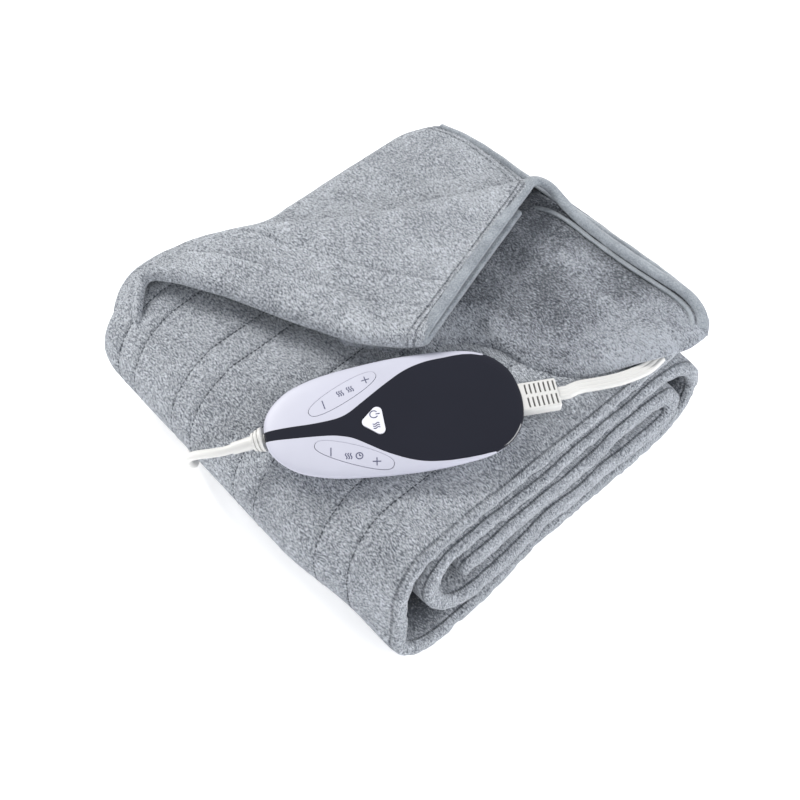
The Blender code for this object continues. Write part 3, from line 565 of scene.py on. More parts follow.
# The end of the lead's relief in the control's own frame
LEAD_START, LEAD_SIDE, LEAD_UP = 93.8 + 27.6 / 2, -1.8, 7.0
LEAD_ROUTE = ((46.9, -117.0, 90.4), (60.1, -122.8, 87.8), (73.5, -128.6, 86.0), (86.5, -132.6, 84.8),
              (97.0, -134.6, 84.6), (108.0, -134.0, 84.8))
# The space between the rings of the lead and of the tapes
SWEEP_STEP = 2.5
# A quarter of the flat lead's outline, with its groove: across, up
LEAD_QUARTER = [(-4.7, 0.0), (-4.55, 1.0), (-4.0, 1.8), (-3.2, 2.2), (-2.4, 2.1), (-1.8, 1.85), (-1.5, 1.7),
                (-1.2, 1.85), (-0.7, 2.05), (0.0, 2.2)]


def swept(name, line, outline, ups=None, angle=50.0):
    """A closed outline of across, up points in mm carried along a line, its ends closed."""
    verts = []
    for index, place in enumerate(line):
        ahead = line[min(index + 1, len(line) - 1)] - line[max(index - 1, 0)]
        across = ahead.cross(ups[index] if ups else Vector((0.0, 0.0, 1.0))).normalized()
        over = across.cross(ahead).normalized()
        verts += [tuple(place + across * x * MM + over * z * MM) for x, z in outline]
    return built(name, verts, faces_round(len(line), len(outline)), angle)


def lead():
    """The flat lead from the control into the throw, grooved along its length."""
    start = [CONTROL @ (Vector((LEAD_START + out, LEAD_SIDE, LEAD_UP)) * MM) for out in LEAVES_AT]
    line = start[:1] + flowing([start[1]] + [at(*row) for row in LEAD_ROUTE], SWEEP_STEP * MM)
    half = LEAD_QUARTER + [(-x, z) for x, z in LEAD_QUARTER[-2::-1]]
    outline = half + [(x, -z) for x, z in half[-2:0:-1]]
    piece = swept("blanket_lead_flat", line, outline)
    fit(piece, BODY, CORD, ("blanket_lead",))


camera()
lights()
floor()
mains()
lead()
for node, skin in zip(PLUG_PIECES, (CORD, PIN, PIN, BAND, BAND)):
    paint(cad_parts[node], skin)

# ---------------- the throw's folded layers
RUNS = (
    ("top", 79.0, 12.0, 132.0, -108.0, -138.0, 127.0, 31.0),
    ("bottom", 6.5, 13.0, -108.0, 112.0, -155.0, 129.0, 12.0),
    ("upper", 65.5, 13.0, 112.0, -88.0, -143.0, 126.0, 14.0),
    ("lower", 25.5, 18.0, -88.0, 107.0, -155.0, 130.0, 8.0),
    ("core", 47.0, 18.0, 107.0, -86.0, -149.0, 127.0, 8.0),
)
TURNS = (
    ("left wrap", 45.5, 13.0),
    ("right wrap", 32.0, 12.0),
    ("inner roll", 22.0, 14.0),
    ("inner tuck", 11.0, 16.0),
)
RUN_STEPS = (22, 18, 16, 14, 14)
TURN_STEPS = (12, 9, 8, 7)
ACROSS = [0.0, 0.010, 0.028, 0.06] + [0.06 + 0.87 * k / 15 for k in range(1, 15)] + [0.93, 0.965, 0.988, 1.0]
FRONT_THIN = (0.60, 0.88, 0.97)
BACK_THIN = (0.30, 0.72, 0.94)
CORNER_FROM, CORNER_RUN = -20.0, 85.0
PILE_TOP = 85.0
DRAW_IN, DRAW_DOWN_TO, DRAW_FADE, DRAW_FROM, DRAW_RUN = 0.44, 0.85, 0.35, -55.0, 95.0
DROOP, DROOP_FROM, DROOP_RUN = 5.0, -105.0, 45.0
SWELL, SWELL_X, SWELL_Y = 1.6, (21.0, 0.6), (17.0, -0.4)
# The lowest layer's corner at the front of the left fold spreads out a little on the ground
FOOT_FROM, FOOT_RUN, FOOT_TOP, FOOT_OUT = -80.0, 70.0, 40.0, (6.0, 6.0)


def laid(x, y, z):
    """A table point with the pile's soft unevenness, in the row frame."""
    height = max(z - RUNS[1][1], 0.0) / PILE_TOP
    sink = DROOP * smooth((DROOP_FROM - y) / DROOP_RUN)
    swell = SWELL * math.sin(SWELL_X[0] * x * MM + SWELL_X[1]) * math.cos(SWELL_Y[0] * y * MM + SWELL_Y[1])
    return at(x, y, z + height * (swell - sink))


def strip_path():
    """The strip's middle line from its outer end to its core, with its thickness and both edges."""
    path = []
    for index, run in enumerate(RUNS):
        _, z, thick, start, end, front, back, corner = run
        steps = RUN_STEPS[index]
        for step in range(steps):
            path.append((mix(start, end, step / (steps - 1)), z, thick, front, back, corner, 0.0))
        if index == len(TURNS):
            break
        _, reach, turn_thick = TURNS[index]
        after = RUNS[index + 1]
        side = -1 if end < start else 1
        for step in range(1, TURN_STEPS[index]):
            share = step / TURN_STEPS[index]
            angle = math.pi * share
            fade = math.sin(angle)
            draw = 0.0
            if index == 0:
                draw = DRAW_IN * reach * fade * smooth((DRAW_DOWN_TO - share) / DRAW_FADE)
            path.append((end + side * reach * fade, (z + after[1]) / 2 + (z - after[1]) / 2 * math.cos(angle),
                         mix(mix(thick, after[2], share), turn_thick, fade), mix(front, after[5], share),
                         mix(back, after[6], share), mix(corner, after[7], share), draw))
    return path


def strip_grid():
    points, thick = [], []
    for x, z, depth, front, back, corner_reach, draw in strip_path():
        corner = corner_reach * smooth((CORNER_FROM - x) / CORNER_RUN)
        row, row_thick = [], []
        for place, share in enumerate(ACROSS):
            y = mix(front, back + corner, share)
            inwards = draw * smooth((DRAW_FROM - y) / DRAW_RUN)
            foot = smooth((FOOT_FROM - y) / FOOT_RUN) * smooth((FOOT_TOP - z) / FOOT_TOP) * smooth(-x / 80.0)
            row.append(laid(x + inwards - FOOT_OUT[0] * foot, y - FOOT_OUT[1] * foot, z))
            rim = min(place, len(ACROSS) - 1 - place)
            thin = FRONT_THIN if place < 3 else BACK_THIN
            row_thick.append(depth * (thin[rim] if rim < 3 else 1.0))
        points.append(row)
        thick.append(row_thick)
    return points, thick


def measured(line, zero):
    """Signed metres along a line of points from one of them."""
    far = [0.0]
    for a, b in zip(line, line[1:]):
        far.append(far[-1] + (b - a).length)
    return [value - far[zero] for value in far]


def cloth(name, points, thick, zero_row=0, zero_column=0):
    """A thick sheet over a grid of middle points. Its map gives the metres along and across it."""
    rows, columns = len(points), len(points[0])
    across = [measured(row, zero_column) for row in points]
    along = [measured([row[column] for row in points], zero_row) for column in range(columns)]
    clear_choice()
    bpy.ops.mesh.primitive_grid_add(x_subdivisions=rows - 1, y_subdivisions=columns - 1, size=1.0)
    piece = named(name)
    mesh = piece.data
    order = sorted(mesh.vertices, key=lambda v: (round(v.co.x, 5), round(v.co.y, 5)))
    assert len(order) == rows * columns, (len(order), rows, columns)
    widest = max(max(row) for row in thick)
    group = piece.vertex_groups.new(name="thickness")
    spots = {}
    for index, vertex in enumerate(order):
        row, column = divmod(index, columns)
        vertex.co = points[row][column]
        group.add([vertex.index], thick[row][column] / widest, "REPLACE")
        spots[vertex.index] = (along[column][row], across[row][column])
    chart = mesh.uv_layers.active or mesh.uv_layers.new(name="cloth")
    chart.name = "cloth"
    for loop in mesh.loops:
        chart.data[loop.index].uv = spots[loop.vertex_index]
    solid = piece.modifiers.new("thickness", "SOLIDIFY")
    solid.thickness = widest * MM
    solid.offset = 0.0
    solid.vertex_group = "thickness"
    round_off = piece.modifiers.new("soft", "SUBSURF")
    round_off.levels = round_off.render_levels = 2
    apply_all(piece)
    piece.vertex_groups.clear()
    face_out(piece)
    shade(piece)
    return piece


def chart_of(piece):
    """The metres along and across the cloth for each vertex."""
    mesh = piece.data
    loops = np.empty(len(mesh.loops) * 2)
    mesh.uv_layers["cloth"].data.foreach_get("uv", loops)
    owner = np.empty(len(mesh.loops), dtype=int)
    mesh.loops.foreach_get("vertex_index", owner)
    spots = np.zeros((len(mesh.vertices), 2))
    spots[owner] = loops.reshape(-1, 2)
    return spots


def places_of(piece):
    mesh = piece.data
    flat = np.empty(len(mesh.vertices) * 3)
    mesh.vertices.foreach_get("co", flat)
    normals = np.array([tuple(v.normal) for v in mesh.vertices])
    return flat.reshape(-1, 3), normals


def place_points(piece, places):
    piece.data.vertices.foreach_set("co", places.ravel())
    piece.data.update()


def rumple(piece, depth):
    """Moves each point along its normal by what depth(places, normals, chart) gives, in mm."""
    places, normals = places_of(piece)
    place_points(piece, places + normals * (depth(places, normals, chart_of(piece)) * MM)[:, None])


def ripple(places, scale, seed):
    """Smooth noise from -1 to 1, its waves about 1 / scale metres long."""
    shift = Vector((seed * 7.31, seed * 3.77, seed * 5.13))
    return np.array([noise.noise(Vector((p[0] * scale, p[1] * scale, p[2] * scale)) + shift) for p in places])


def uneven(places, waves):
    """Ripples on each other: height in mm, scale, seed."""
    return sum(height * ripple(places, scale, seed) for height, scale, seed in waves)


def bell(value, width):
    return np.exp(-(value / width) ** 2)


def crease(places, lines):
    """Soft troughs and ridges: start x, y, end x, y, width, depth in mm (down is minus)."""
    result = np.zeros(len(places))
    flat = (places[:, :2] - np.array(OFFSET[:2])) / MM
    for x0, y0, x1, y1, width, depth in lines:
        a, b = np.array((x0, y0)), np.array((x1, y1))
        span = b - a
        share = np.clip(((flat - a) @ span) / (span @ span), 0.0, 1.0)
        away = np.linalg.norm(flat - (a + share[:, None] * span), axis=1)
        ends = np.sin(np.pi * np.clip(share, 0.03, 0.97)) ** 0.5
        result += depth * ends * bell(away, width)
    return result


def strip_depth(places, normals, chart):
    along, across = chart[:, 0], chart[:, 1]
    outer = np.clip(normals[:, 2] * 0.5 + 0.6, 0.35, 1.0)
    depth = uneven(places, ((0.7, 16.0, 1), (0.5, 40.0, 2))) - 0.3
    depth += 0.28 * ripple(places, 120.0, 3)
    for line in STRIP_STITCHES:
        near = bell(across - line, 0.0042)
        depth -= (0.45 + 0.3 * ripple(places, 90.0, line * 40)) * near * (along < STRIP_STITCH_END)
    return depth * outer


EDGE_CLOSE, EDGE_PUCKER_WIDE = 0.020, 0.007
EDGE_BOW = ((2.6, 14.0, 21), (1.6, 38.0, 22))
EDGE_LIFT = ((1.5, 17.0, 23), (1.1, 45.0, 24))
EDGE_PUCKER = ((0.9, 110.0, 25), (0.8, 260.0, 26))


def front_edges(piece):
    """The stacked front edges: uneven, puckered, each with its own wave."""
    places, normals = places_of(piece)
    chart = chart_of(piece)
    along, across = chart[:, 0], chart[:, 1]
    close = bell(across, EDGE_CLOSE)
    lines = np.column_stack((along, along * 0.0, along * 0.0))
    bow = uneven(lines, EDGE_BOW)
    lift = uneven(lines, EDGE_LIFT)
    inner = np.clip((along - STRIP_STITCH_END) / 0.05, 0.0, 1.0)
    places[:, 1] += bow * close * (0.35 + 0.65 * inner) * MM
    places[:, 2] += lift * close * inner * MM
    places += normals * (uneven(lines, EDGE_PUCKER) * bell(across, EDGE_PUCKER_WIDE) * MM)[:, None]
    places[:, 2] = np.maximum(places[:, 2], 0.0)
    place_points(piece, places)


strip_points, strip_thick = strip_grid()
layers = cloth("throw_layers", strip_points, strip_thick)
rumple(layers, strip_depth)
front_edges(layers)
fit(layers, BODY, PLUSH, ("blanket",))

# ---------------- the doubled panel on the right
PANEL_FRONT = ((-43, 15), (-14, -22), (16, -36), (32, -58), (36, -82), (46, -101), (64, -114),
               (88, -127), (104, -138), (124, -145), (144, -146), (155, -138))
PANEL_BACK = ((-40, 124), (141, 120))
PANEL_MIDDLE, PANEL_THICK, PANEL_BULGE = 91.0, 10.0, 11.5
PANEL_MERGE, PANEL_MERGE_WIDE = 7.6, 0.26
PANEL_FREE_FROM, PANEL_FREE_RUN = 0.70, 0.14
PANEL_SINK, PANEL_SINK_FROM, PANEL_SINK_RUN = 8.0, 0.56, 0.12
CORD_HUMP, CORD_HUMP_AT, CORD_HUMP_WIDE = 6.0, (100, -132), 28.0
PANEL_COLUMNS = 44
PANEL_DEEP = [0.0, 0.015, 0.045, 0.09] + [0.09 + 0.91 * k / 20 for k in range(1, 21)]
PANEL_THIN = (0.28, 0.72, 0.95)


def panel_grid():
    fronts = spaced([Vector((x, y, 0.0)) for x, y in PANEL_FRONT], 1.0)
    points, thick = [], []
    for column in range(PANEL_COLUMNS):
        share = column / (PANEL_COLUMNS - 1)
        front = fronts[round(share * (len(fronts) - 1))]
        back = [mix(a, b, share) for a, b in zip(*PANEL_BACK)]
        row, row_thick = [], []
        for place, deep in enumerate(PANEL_DEEP):
            x = mix(front.x, back[0], deep) + PANEL_BULGE * share * math.sin(math.pi * deep)
            y = mix(front.y, back[1], deep)
            away = math.dist((x, y), CORD_HUMP_AT) / CORD_HUMP_WIDE
            free = smooth((share - PANEL_FREE_FROM) / PANEL_FREE_RUN)
            sink = PANEL_MERGE * (1.0 - free) * (1.0 - smooth(deep / PANEL_MERGE_WIDE))
            sink += PANEL_SINK * smooth((deep - PANEL_SINK_FROM) / PANEL_SINK_RUN)
            row.append(laid(x, y, PANEL_MIDDLE - sink + CORD_HUMP * math.exp(-away * away)))
            row_thick.append(PANEL_THICK * (PANEL_THIN[place] if place < len(PANEL_THIN) else 1.0))
        points.append(row)
        thick.append(row_thick)
    return points, thick


PANEL_CREASES = (
    (60, -60, 100, 10, 9, -1.2), (20, -30, 60, 30, 12, -1.0), (90, -110, 135, -60, 10, -0.9),
    (110, -40, 135, 0, 8, -1.0), (60, -110, 120, -128, 8, 0.8),
)


PANEL_WAVES = ((0.7, 22.0, 5), (0.45, 55.0, 6), (0.22, 130.0, 7))


def facing_up(normals):
    """1 on the cloth's upper side, less on its sides and least underneath."""
    return np.clip(normals[:, 2] * 0.6 + 0.5, 0.2, 1.0)


def panel_depth(places, normals, chart):
    return (uneven(places, PANEL_WAVES) + crease(places, PANEL_CREASES)) * facing_up(normals) - 0.2


panel_points, panel_thick = panel_grid()
panel = cloth("throw_panel", panel_points, panel_thick)
rumple(panel, panel_depth)
fit(panel, BODY, NAP_SHADED_PLUSH)

# ---------------- the turned-back flap
FLAP = (
    (-138, 122, 70, 70, -143, 129, 66, -146, 137, 58, 0.35),
    (-125, 133, 82, 82, -130, 143, 81.5, -133, 151, 74, 0.45),
    (-111, 143, 88, 87, -112, 154, 89, -113, 161, 80, 0.65),
    (-100, 128, 92, 88, -93, 148, 95.5, -91, 158, 84, 0.85),
    (-91, 110, 93.5, 88, -74, 139, 101.5, -71, 152, 88, 1.0),
    (-82, 93, 94, 90, -54, 129, 107, -47, 143, 90, 1.0),
    (-73, 71, 95, 92, -30, 112, 111, -20, 128, 92, 1.0),
    (-63, 47, 95, 98.8, -6, 93, 113, 6, 126.5, 93.4, 1.0),
    (-53, 24, 96, 99.9, 16, 76, 114.5, 30, 126.5, 93.4, 1.0),
    (-44, 3, 97.5, 99.9, 43, 60, 115, 55, 126.5, 93.4, 1.0),
    (-34, -11, 99, 99.9, 75, 45, 115, 86, 126.5, 93.4, 1.0),
    (-24, -23, 100, 99.9, 108, 30, 115, 116, 125, 93.4, 1.0),
    (-14, -31, 101, 99.9, 141, 17, 114, 142, 114, 93.4, 1.0),
)
PLY, FOLD_RADIUS, LOWER_PLY_SHARE = 5.5, 5.2, 0.85
BACK_TURN = ((3.5, 0.12), (6.0, 0.5), (6.4, 1.0))
LOWER_SHARES = (1.0, 0.75, 0.5, 0.28, 0.12)
FOLD_STEPS = 8
UPPER_SHARES = (0.06, 0.12, 0.2, 0.3, 0.4, 0.5, 0.62, 0.74, 0.86, 0.93, 1.0)
BACK_SHARES = (0.05, 0.1, 0.16, 0.23, 0.32, 0.44, 0.6, 0.8, 1.0)
BACK_DROP, BACK_BULGE, BULGE_FROM, BULGE_RUN = 12.0, 12.0, 95.0, 45.0
FLAP_STEPS = 4
FOLD_AT = len(LOWER_SHARES) + FOLD_STEPS // 2


def flap_section(row):
    """One section's middle line: lower ply, round fold, upper ply over the ridge, back turn."""
    fold, ridge, back = (Vector((row[k], row[k + 1], 0.0)) for k in (0, 4, 7))
    low, rest, crest, end = row[2], row[3], row[6], row[9]
    radius = FOLD_RADIUS * row[10]
    inward = (ridge - fold).normalized()
    centre = fold + inward * (radius + PLY * row[10] / 2)
    line = []
    for share in LOWER_SHARES:
        place = centre.lerp(ridge, share * LOWER_PLY_SHARE)
        line.append((place.x, place.y, mix(low, rest, smooth(share * 2.5))))
    for step in range(FOLD_STEPS + 1):
        angle = math.pi * step / FOLD_STEPS
        place = centre - inward * radius * math.sin(angle)
        line.append((place.x, place.y, low + radius * (1.0 - math.cos(angle))))
    for share in UPPER_SHARES:
        place = centre.lerp(ridge, share)
        line.append((place.x, place.y, mix(low + 2 * radius, crest, math.sin(share * math.pi / 2))))
    span = (back - ridge).length
    for share in BACK_SHARES:
        place = ridge.lerp(back, share)
        fall = smooth(min(share * span / min(BACK_DROP, span), 1.0))
        bulge = BACK_BULGE * smooth((ridge.x - BULGE_FROM) / BULGE_RUN) * math.sin(math.pi * share) ** 0.4
        line.append((place.x + bulge, place.y, mix(crest, end, fall)))
    outward = (back - ridge).normalized()
    base = min(RUNS[0][1], end - PLY)
    for reach, down in BACK_TURN:
        place = back + outward * reach
        line.append((place.x, place.y, mix(end, base, down)))
    return [laid(*place) for place in line]


flap_rows = through(FLAP, FLAP_STEPS)
flap_points = [flap_section(row) for row in flap_rows]
flap_thick = [[PLY * row[10]] * len(flap_points[0]) for row in flap_rows]
# Creases on the flap and behind its ridge
FLAP_CREASES = (
    (62, 78, 30, 104, 8, -2.2), (86, 66, 64, 100, 8, -1.6), (118, 60, 82, 112, 9, -1.4),
    (40, 84, 10, 112, 7, 1.2), (30, 34, 66, 12, 11, -1.0), (-30, 62, 10, 24, 13, 0.9),
    (60, 10, 96, 24, 12, -0.9), (-70, 108, -20, 92, 10, -0.7), (110, 80, 60, 118, 7, 1.0),
    (-8, 111, 24, 111, 3, -1.3), (28, 113, 46, 103, 6, -1.4), (74, 131, 95, 106, 9, -1.2),
    (-8, -7, 9, 2, 3, -1.2),
)


FLAP_WAVES = ((0.7, 20.0, 8), (0.45, 50.0, 9), (0.24, 120.0, 10))


def flap_depth(places, normals, chart):
    depth = uneven(places, FLAP_WAVES)
    for line in FLAP_STITCHES:
        depth -= 0.7 * bell(chart[:, 1] - line, 0.005)
    return (depth + crease(places, FLAP_CREASES)) * facing_up(normals)


flap = cloth("throw_flap", flap_points, flap_thick, zero_row=len(flap_points) - 1, zero_column=FOLD_AT)
rumple(flap, flap_depth)
fit(flap, BODY, FLAP_PLUSH)

# ---------------- edge bindings
RIM_LAST = len(LOWER_SHARES) + FOLD_STEPS + len(UPPER_SHARES)
BIND_AFTER_CREST = ((148, 10, 108), (148, -8, 101.5), (147, -30, 99.6), (147, -60, 99.6),
                    (149, -90, 99.6), (151.5, -112, 99.4), (152, -125, 98.2), (149.5, -134, 96.0),
                    (143.5, -139.5, 93.0))
OUTER_BINDING = ((141.5, 116, 93.5), (147.5, 95, 94), (150.8, 68, 94.3), (151.6, 42, 94.6),
                 (153.2, 10, 94.5), (155.6, -30, 94), (157.2, -65, 94), (157.4, -95, 94),
                 (157.0, -112, 93.4), (154.6, -127, 92.2), (150.5, -136, 90.5), (144.0, -141.5, 88.5))
PIPING = ((133.5, 16, 91.0), (138.0, 3, 96.4), (141.0, -15, 97.6), (141.0, -40, 97.6), (141.7, -70, 97.6),
          (144, -100, 97.6), (145.2, -116, 97.4), (143.5, -129, 96.6), (136.0, -136.5, 95.0))
TAPE_WIDE, TAPE_INSIDE, TAPE_GROOVE = 8.0, 2.6, 0.35
TAPE_SIDES, TAPE_WAVES = 28, ((0.22, 90.0, 11), (0.14, 240.0, 12))


def tape_outline(wide, high):
    """A flat oval with two sewn grooves on each face."""
    outline = []
    for k in range(TAPE_SIDES):
        angle = 2.0 * math.pi * k / TAPE_SIDES
        x = wide / 2 * math.copysign(abs(math.cos(angle)) ** 0.62, math.cos(angle))
        z = high / 2 * math.copysign(abs(math.sin(angle)) ** 0.8, math.sin(angle))
        sunk = TAPE_GROOVE * (bell(x + wide * 0.24, 0.7) + bell(x - wide * 0.24, 0.7))
        outline.append((x, z - math.copysign(sunk, z)))
    return outline


def rim_line():
    """Along the flap's bound edge, round its fold and up to the crest, with the cloth's normals."""
    last, before = flap_points[-1], flap_points[-2]
    line, ups = [], []
    for index in range(RIM_LAST + 1):
        along = (last[index + 1] - last[max(index - 1, 0)]).normalized()
        outward = last[index] - before[index]
        outward -= along * outward.dot(along)
        outward.normalize()
        line.append(last[index] - outward * TAPE_INSIDE * MM)
        ups.append(outward.cross(along))
    return line, ups


def resampled(line, ups, spacing):
    """Even points along a line, with the directions that go with them."""
    far = measured(line, 0)
    count = max(2, round(far[-1] / (spacing * MM)))
    places, turned = [], []
    for step in range(count + 1):
        goal = far[-1] * step / count
        index = max(k for k in range(len(far) - 1) if far[k] <= goal + 1e-9)
        share = (goal - far[index]) / max(far[index + 1] - far[index], 1e-9)
        places.append(line[index].lerp(line[index + 1], share))
        turned.append(ups[index].lerp(ups[index + 1], share).normalized())
    return places, turned


def softened(values, rounds):
    for _ in range(rounds):
        inner = [(a + b * 2 + c) / 4 for a, b, c in zip(values, values[1:], values[2:])]
        values = [values[0]] + inner + [values[-1]]
    return values


def vectors(rows, steps):
    """Vectors along a smooth curve through the given ones."""
    return [Vector(row) for row in through([tuple(row) for row in rows], steps)]


def tape(name, line, ups, wide, high, node, skin=TAPE):
    piece = swept(name, line, tape_outline(wide, high), ups, 60.0)
    places, normals = places_of(piece)
    place_points(piece, places + normals * (uneven(places, TAPE_WAVES) * MM)[:, None])
    fit(piece, BODY, skin, (node,))


rim, rim_ups = rim_line()
after = [laid(*row) for row in BIND_AFTER_CREST]
whole = rim + after
whole_ups = rim_ups + [Vector((0.35, 0.0, 0.94)).normalized()] * len(after)
flap_line, flap_ups = resampled(vectors(whole, 6), [up.normalized() for up in vectors(whole_ups, 6)], 2.0)
flap_line, flap_ups = softened(flap_line, 6), [up.normalized() for up in softened(flap_ups, 12)]
tape("tape_flap", flap_line, flap_ups, TAPE_WIDE, 6.2, "binding_flap")
for name, route, up, wide, high, node, skin in (
        ("tape_outer", OUTER_BINDING, (0.7, 0.0, 0.7), 8.0, 5.0, "binding_outer", TAPE),
        ("tape_panel", PIPING, (0.1, 0.0, 1.0), 3.2, 2.8, "binding_panel", PIPING_WITH_HIGHLIGHT)):
    line = flowing([laid(*row) for row in route], SWEEP_STEP * MM)
    tape(name, line, [Vector(up)] * len(line), wide, high, node, skin)


# ---------------- stitches
STITCH_PITCH, STITCH_LONG, STITCH_WIDE, STITCH_LIFT = 3.4, 2.2, 0.75, 0.16
# Along a stitch, and how thick it is there
STITCH_SWELL = ((-0.5, 0.35), (-0.25, 1.0), (0.25, 1.0), (0.5, 0.35))


def dashes(name, runs, pitch, long, wide):
    """Short sewn stitches along lines of (place, normal)."""
    verts, faces = [], []
    ring = [(math.cos(k * math.pi / 3), math.sin(k * math.pi / 3)) for k in range(6)]
    for run in runs:
        walked = due = 0.0
        for (a, normal), (b, _) in zip(run, run[1:]):
            span = (b - a).length
            while due <= walked + span and span > 0:
                share = (due - walked) / span
                spot = a.lerp(b, share)
                ahead = (b - a).normalized()
                side = ahead.cross(normal).normalized()
                up = side.cross(ahead).normalized()
                start = len(verts)
                for reach, swell in STITCH_SWELL:
                    middle = spot + ahead * reach * long * MM
                    verts += [tuple(middle + (side * x + up * z) * wide / 2 * swell * MM) for x, z in ring]
                faces += faces_round(len(STITCH_SWELL), len(ring), start)
                due += pitch * MM
            walked += span
    fit(built(name, verts, faces), BODY, THREAD)


def surface_of(piece):
    mesh = piece.data
    return BVHTree.FromPolygons([v.co for v in mesh.vertices], [tuple(f.vertices) for f in mesh.polygons])


def line_on_strip(tree, across, start, end):
    """Places and normals along the strip, between two distances along it, at some metres across it."""
    run = []
    along = 0.0
    for row in range(1, len(strip_points)):
        before, here = strip_points[row - 1], strip_points[row]
        middle = len(here) // 2
        along += (here[middle] - before[middle]).length
        if not start <= along <= end:
            continue
        walked = 0.0
        for column in range(1, len(here)):
            span = (here[column] - here[column - 1]).length
            if walked + span >= across:
                share = (across - walked) / span
                place = here[column - 1].lerp(here[column], share)
                sideways = here[column] - here[column - 1]
                ahead = here[column - 1] - before[column - 1]
                outward = -ahead.cross(sideways).normalized()
                spot, normal, _, _ = tree.ray_cast(place + outward * 0.012, -outward, 0.03)
                if spot is not None:
                    run.append((spot + normal * STITCH_LIFT * MM, normal))
                break
            walked += span
    return refine(run)


def refine(run, parts=6):
    """The same line with more places between each two."""
    fine = [(a.lerp(b, part / parts), n.lerp(m, part / parts))
            for (a, n), (b, m) in zip(run, run[1:]) for part in range(parts)]
    return fine + run[-1:]


strip_surface = surface_of(layers)
strip_runs = [line_on_strip(strip_surface, across, STRIP_STITCH_START, STRIP_STITCH_END)
              for across in STRIP_STITCHES]
dashes("stitches_layers", strip_runs, STITCH_PITCH, STITCH_LONG, STITCH_WIDE)

# ---------------- the hand control
OUTLINE = ((-83.2, 0), (-82.6, 7), (-80.5, 13.5), (-77, 19), (-71, 25), (-62.7, 30.4), (-48.4, 35.4),
           (-34, 38.2), (-20, 39.9), (-5.6, 41.2), (8.6, 41.9), (22.8, 41.9), (37, 41.2),
           (51.4, 39.5), (60, 37.2), (66, 34.4), (72, 30), (78, 22.5), (81.5, 14), (83.2, 0))
AROUND = 192
BASE_RINGS = ((0.0, 0.0), (0.55, 0.0), (0.76, 0.5), (0.88, 2.2), (0.955, 5.2), (0.99, 8.6),
              (0.985, 9.6), (0.6, 9.6), (0.0, 9.6))
COVER_FOOT = ((0.0, 9.9), (0.6, 9.9))
COVER_CROWN = ((0.993, 9.9), (1.0, 10.8), (0.992, 11.8), (0.965, 12.8), (0.91, 13.7), (0.8, 14.5),
               (0.6, 15.1), (0.35, 15.5), (0.0, 15.7))
COVER_RINGS = list(COVER_FOOT) + [tuple(row) for row in through(COVER_CROWN, 3)]
WINDOW = ((-86.0, 2.0, -4.0), (-66, 1.5, -6.3), (-54, 1.0, -7.5), (-42, 1.3, -9.0), (-34.5, 2.3, -11.0),
          (-28, 4.8, -13.8), (-20, 9.8, -19.4), (-12, 15.0, -25.2), (-5, 19.5, -29.4),
          (2, 23.8, -33.0), (9, 27.8, -35.7), (16, 30.8, -37.4), (23, 32.8, -38.3), (30, 34.0, -38.8),
          (40, 34.6, -38.8), (50, 34.2, -37.4), (60, 31.6, -34.6), (67, 27.5, -30.5),
          (73, 21.5, -25.0), (77.6, 13.0, -17.0), (80.2, 4.0, -8.0))
ABOVE = 25.0
# From here on the glass has no pale rim beside it
WRAP_FROM = 40
WRAP_FAR = [(46.0, 35.1), (52.0, 35.2), (58.0, 34.5), (63.0, 32.9), (65.2, 32.6), (66.4, 34.2), (69.0, 42.0)]
WRAP_NEAR = [(60.5, -46.0), (59.0, -38.6), (57.8, -37.3), (55.0, -37.6), (48.0, -38.4)]
POWER_AT, POWER_LONG, POWER_WIDE = (-16.2, -4.4), 14.6, 22.4
POWER_CORNER, POWER_CORNER_TURN = 3.3, 58.0
ROCKER_AT, ROCKER_MIDDLE, ROCKER_TURN = (-30.0, 22.2), -2.7, math.radians(26.0)
ROCKER_LONG, ROCKER_WIDE = 51.0, 12.6
# Under the shell's top: the inlay's underside and the floor of its recess
GLASS_UNDER, RECESS_UNDER = -1.2, -1.65
INLAY_GAP, POWER_GAP, ROCKER_GAP = 0.3, 0.4, 0.35
POWER_HOLE_FOOT, ROCKER_HOLE_FOOT = 11.9, 11.3
# The place where the flat lead's relief is set into both halves of the shell
POCKET, POCKET_FOOT, POCKET_TOP = [(79.6, -12.7), (108.0, -12.7), (108.0, 9.1), (79.6, 9.1)], 2.6, 11.4

ring_points = [tuple(p) for p in OUTLINE] + [(x, -y) for x, y in OUTLINE[-2:0:-1]]
round_outline = np.array(through(ring_points, 8, closed=True))
outline_angles = np.arctan2(round_outline[:, 1], round_outline[:, 0])
outline_order = np.argsort(outline_angles)
outline_angles = outline_angles[outline_order]
outline_reach = np.hypot(round_outline[:, 0], round_outline[:, 1])[outline_order]


def reach(angle):
    return float(np.interp(angle, outline_angles, outline_reach, period=2 * math.pi))


def ringed(name, rings, raised=0.0):
    """A closed body whose rings are scaled copies of the control's outline."""
    clear_choice()
    bpy.ops.mesh.primitive_uv_sphere_add(segments=AROUND, ring_count=len(rings) - 1)
    piece = named(name)
    order = sorted(piece.data.vertices, key=lambda v: v.co.z)
    middle = [order[1 + ring * AROUND:1 + (ring + 1) * AROUND] for ring in range(len(rings) - 2)]
    levels = [order[:1], *middle, order[-1:]]
    for (share, height), level in zip(rings, levels):
        for vertex in level:
            angle = math.atan2(vertex.co.y, vertex.co.x)
            span = share * reach(angle)
            vertex.co = Vector((span * math.cos(angle), span * math.sin(angle), height + raised)) * MM
    return piece


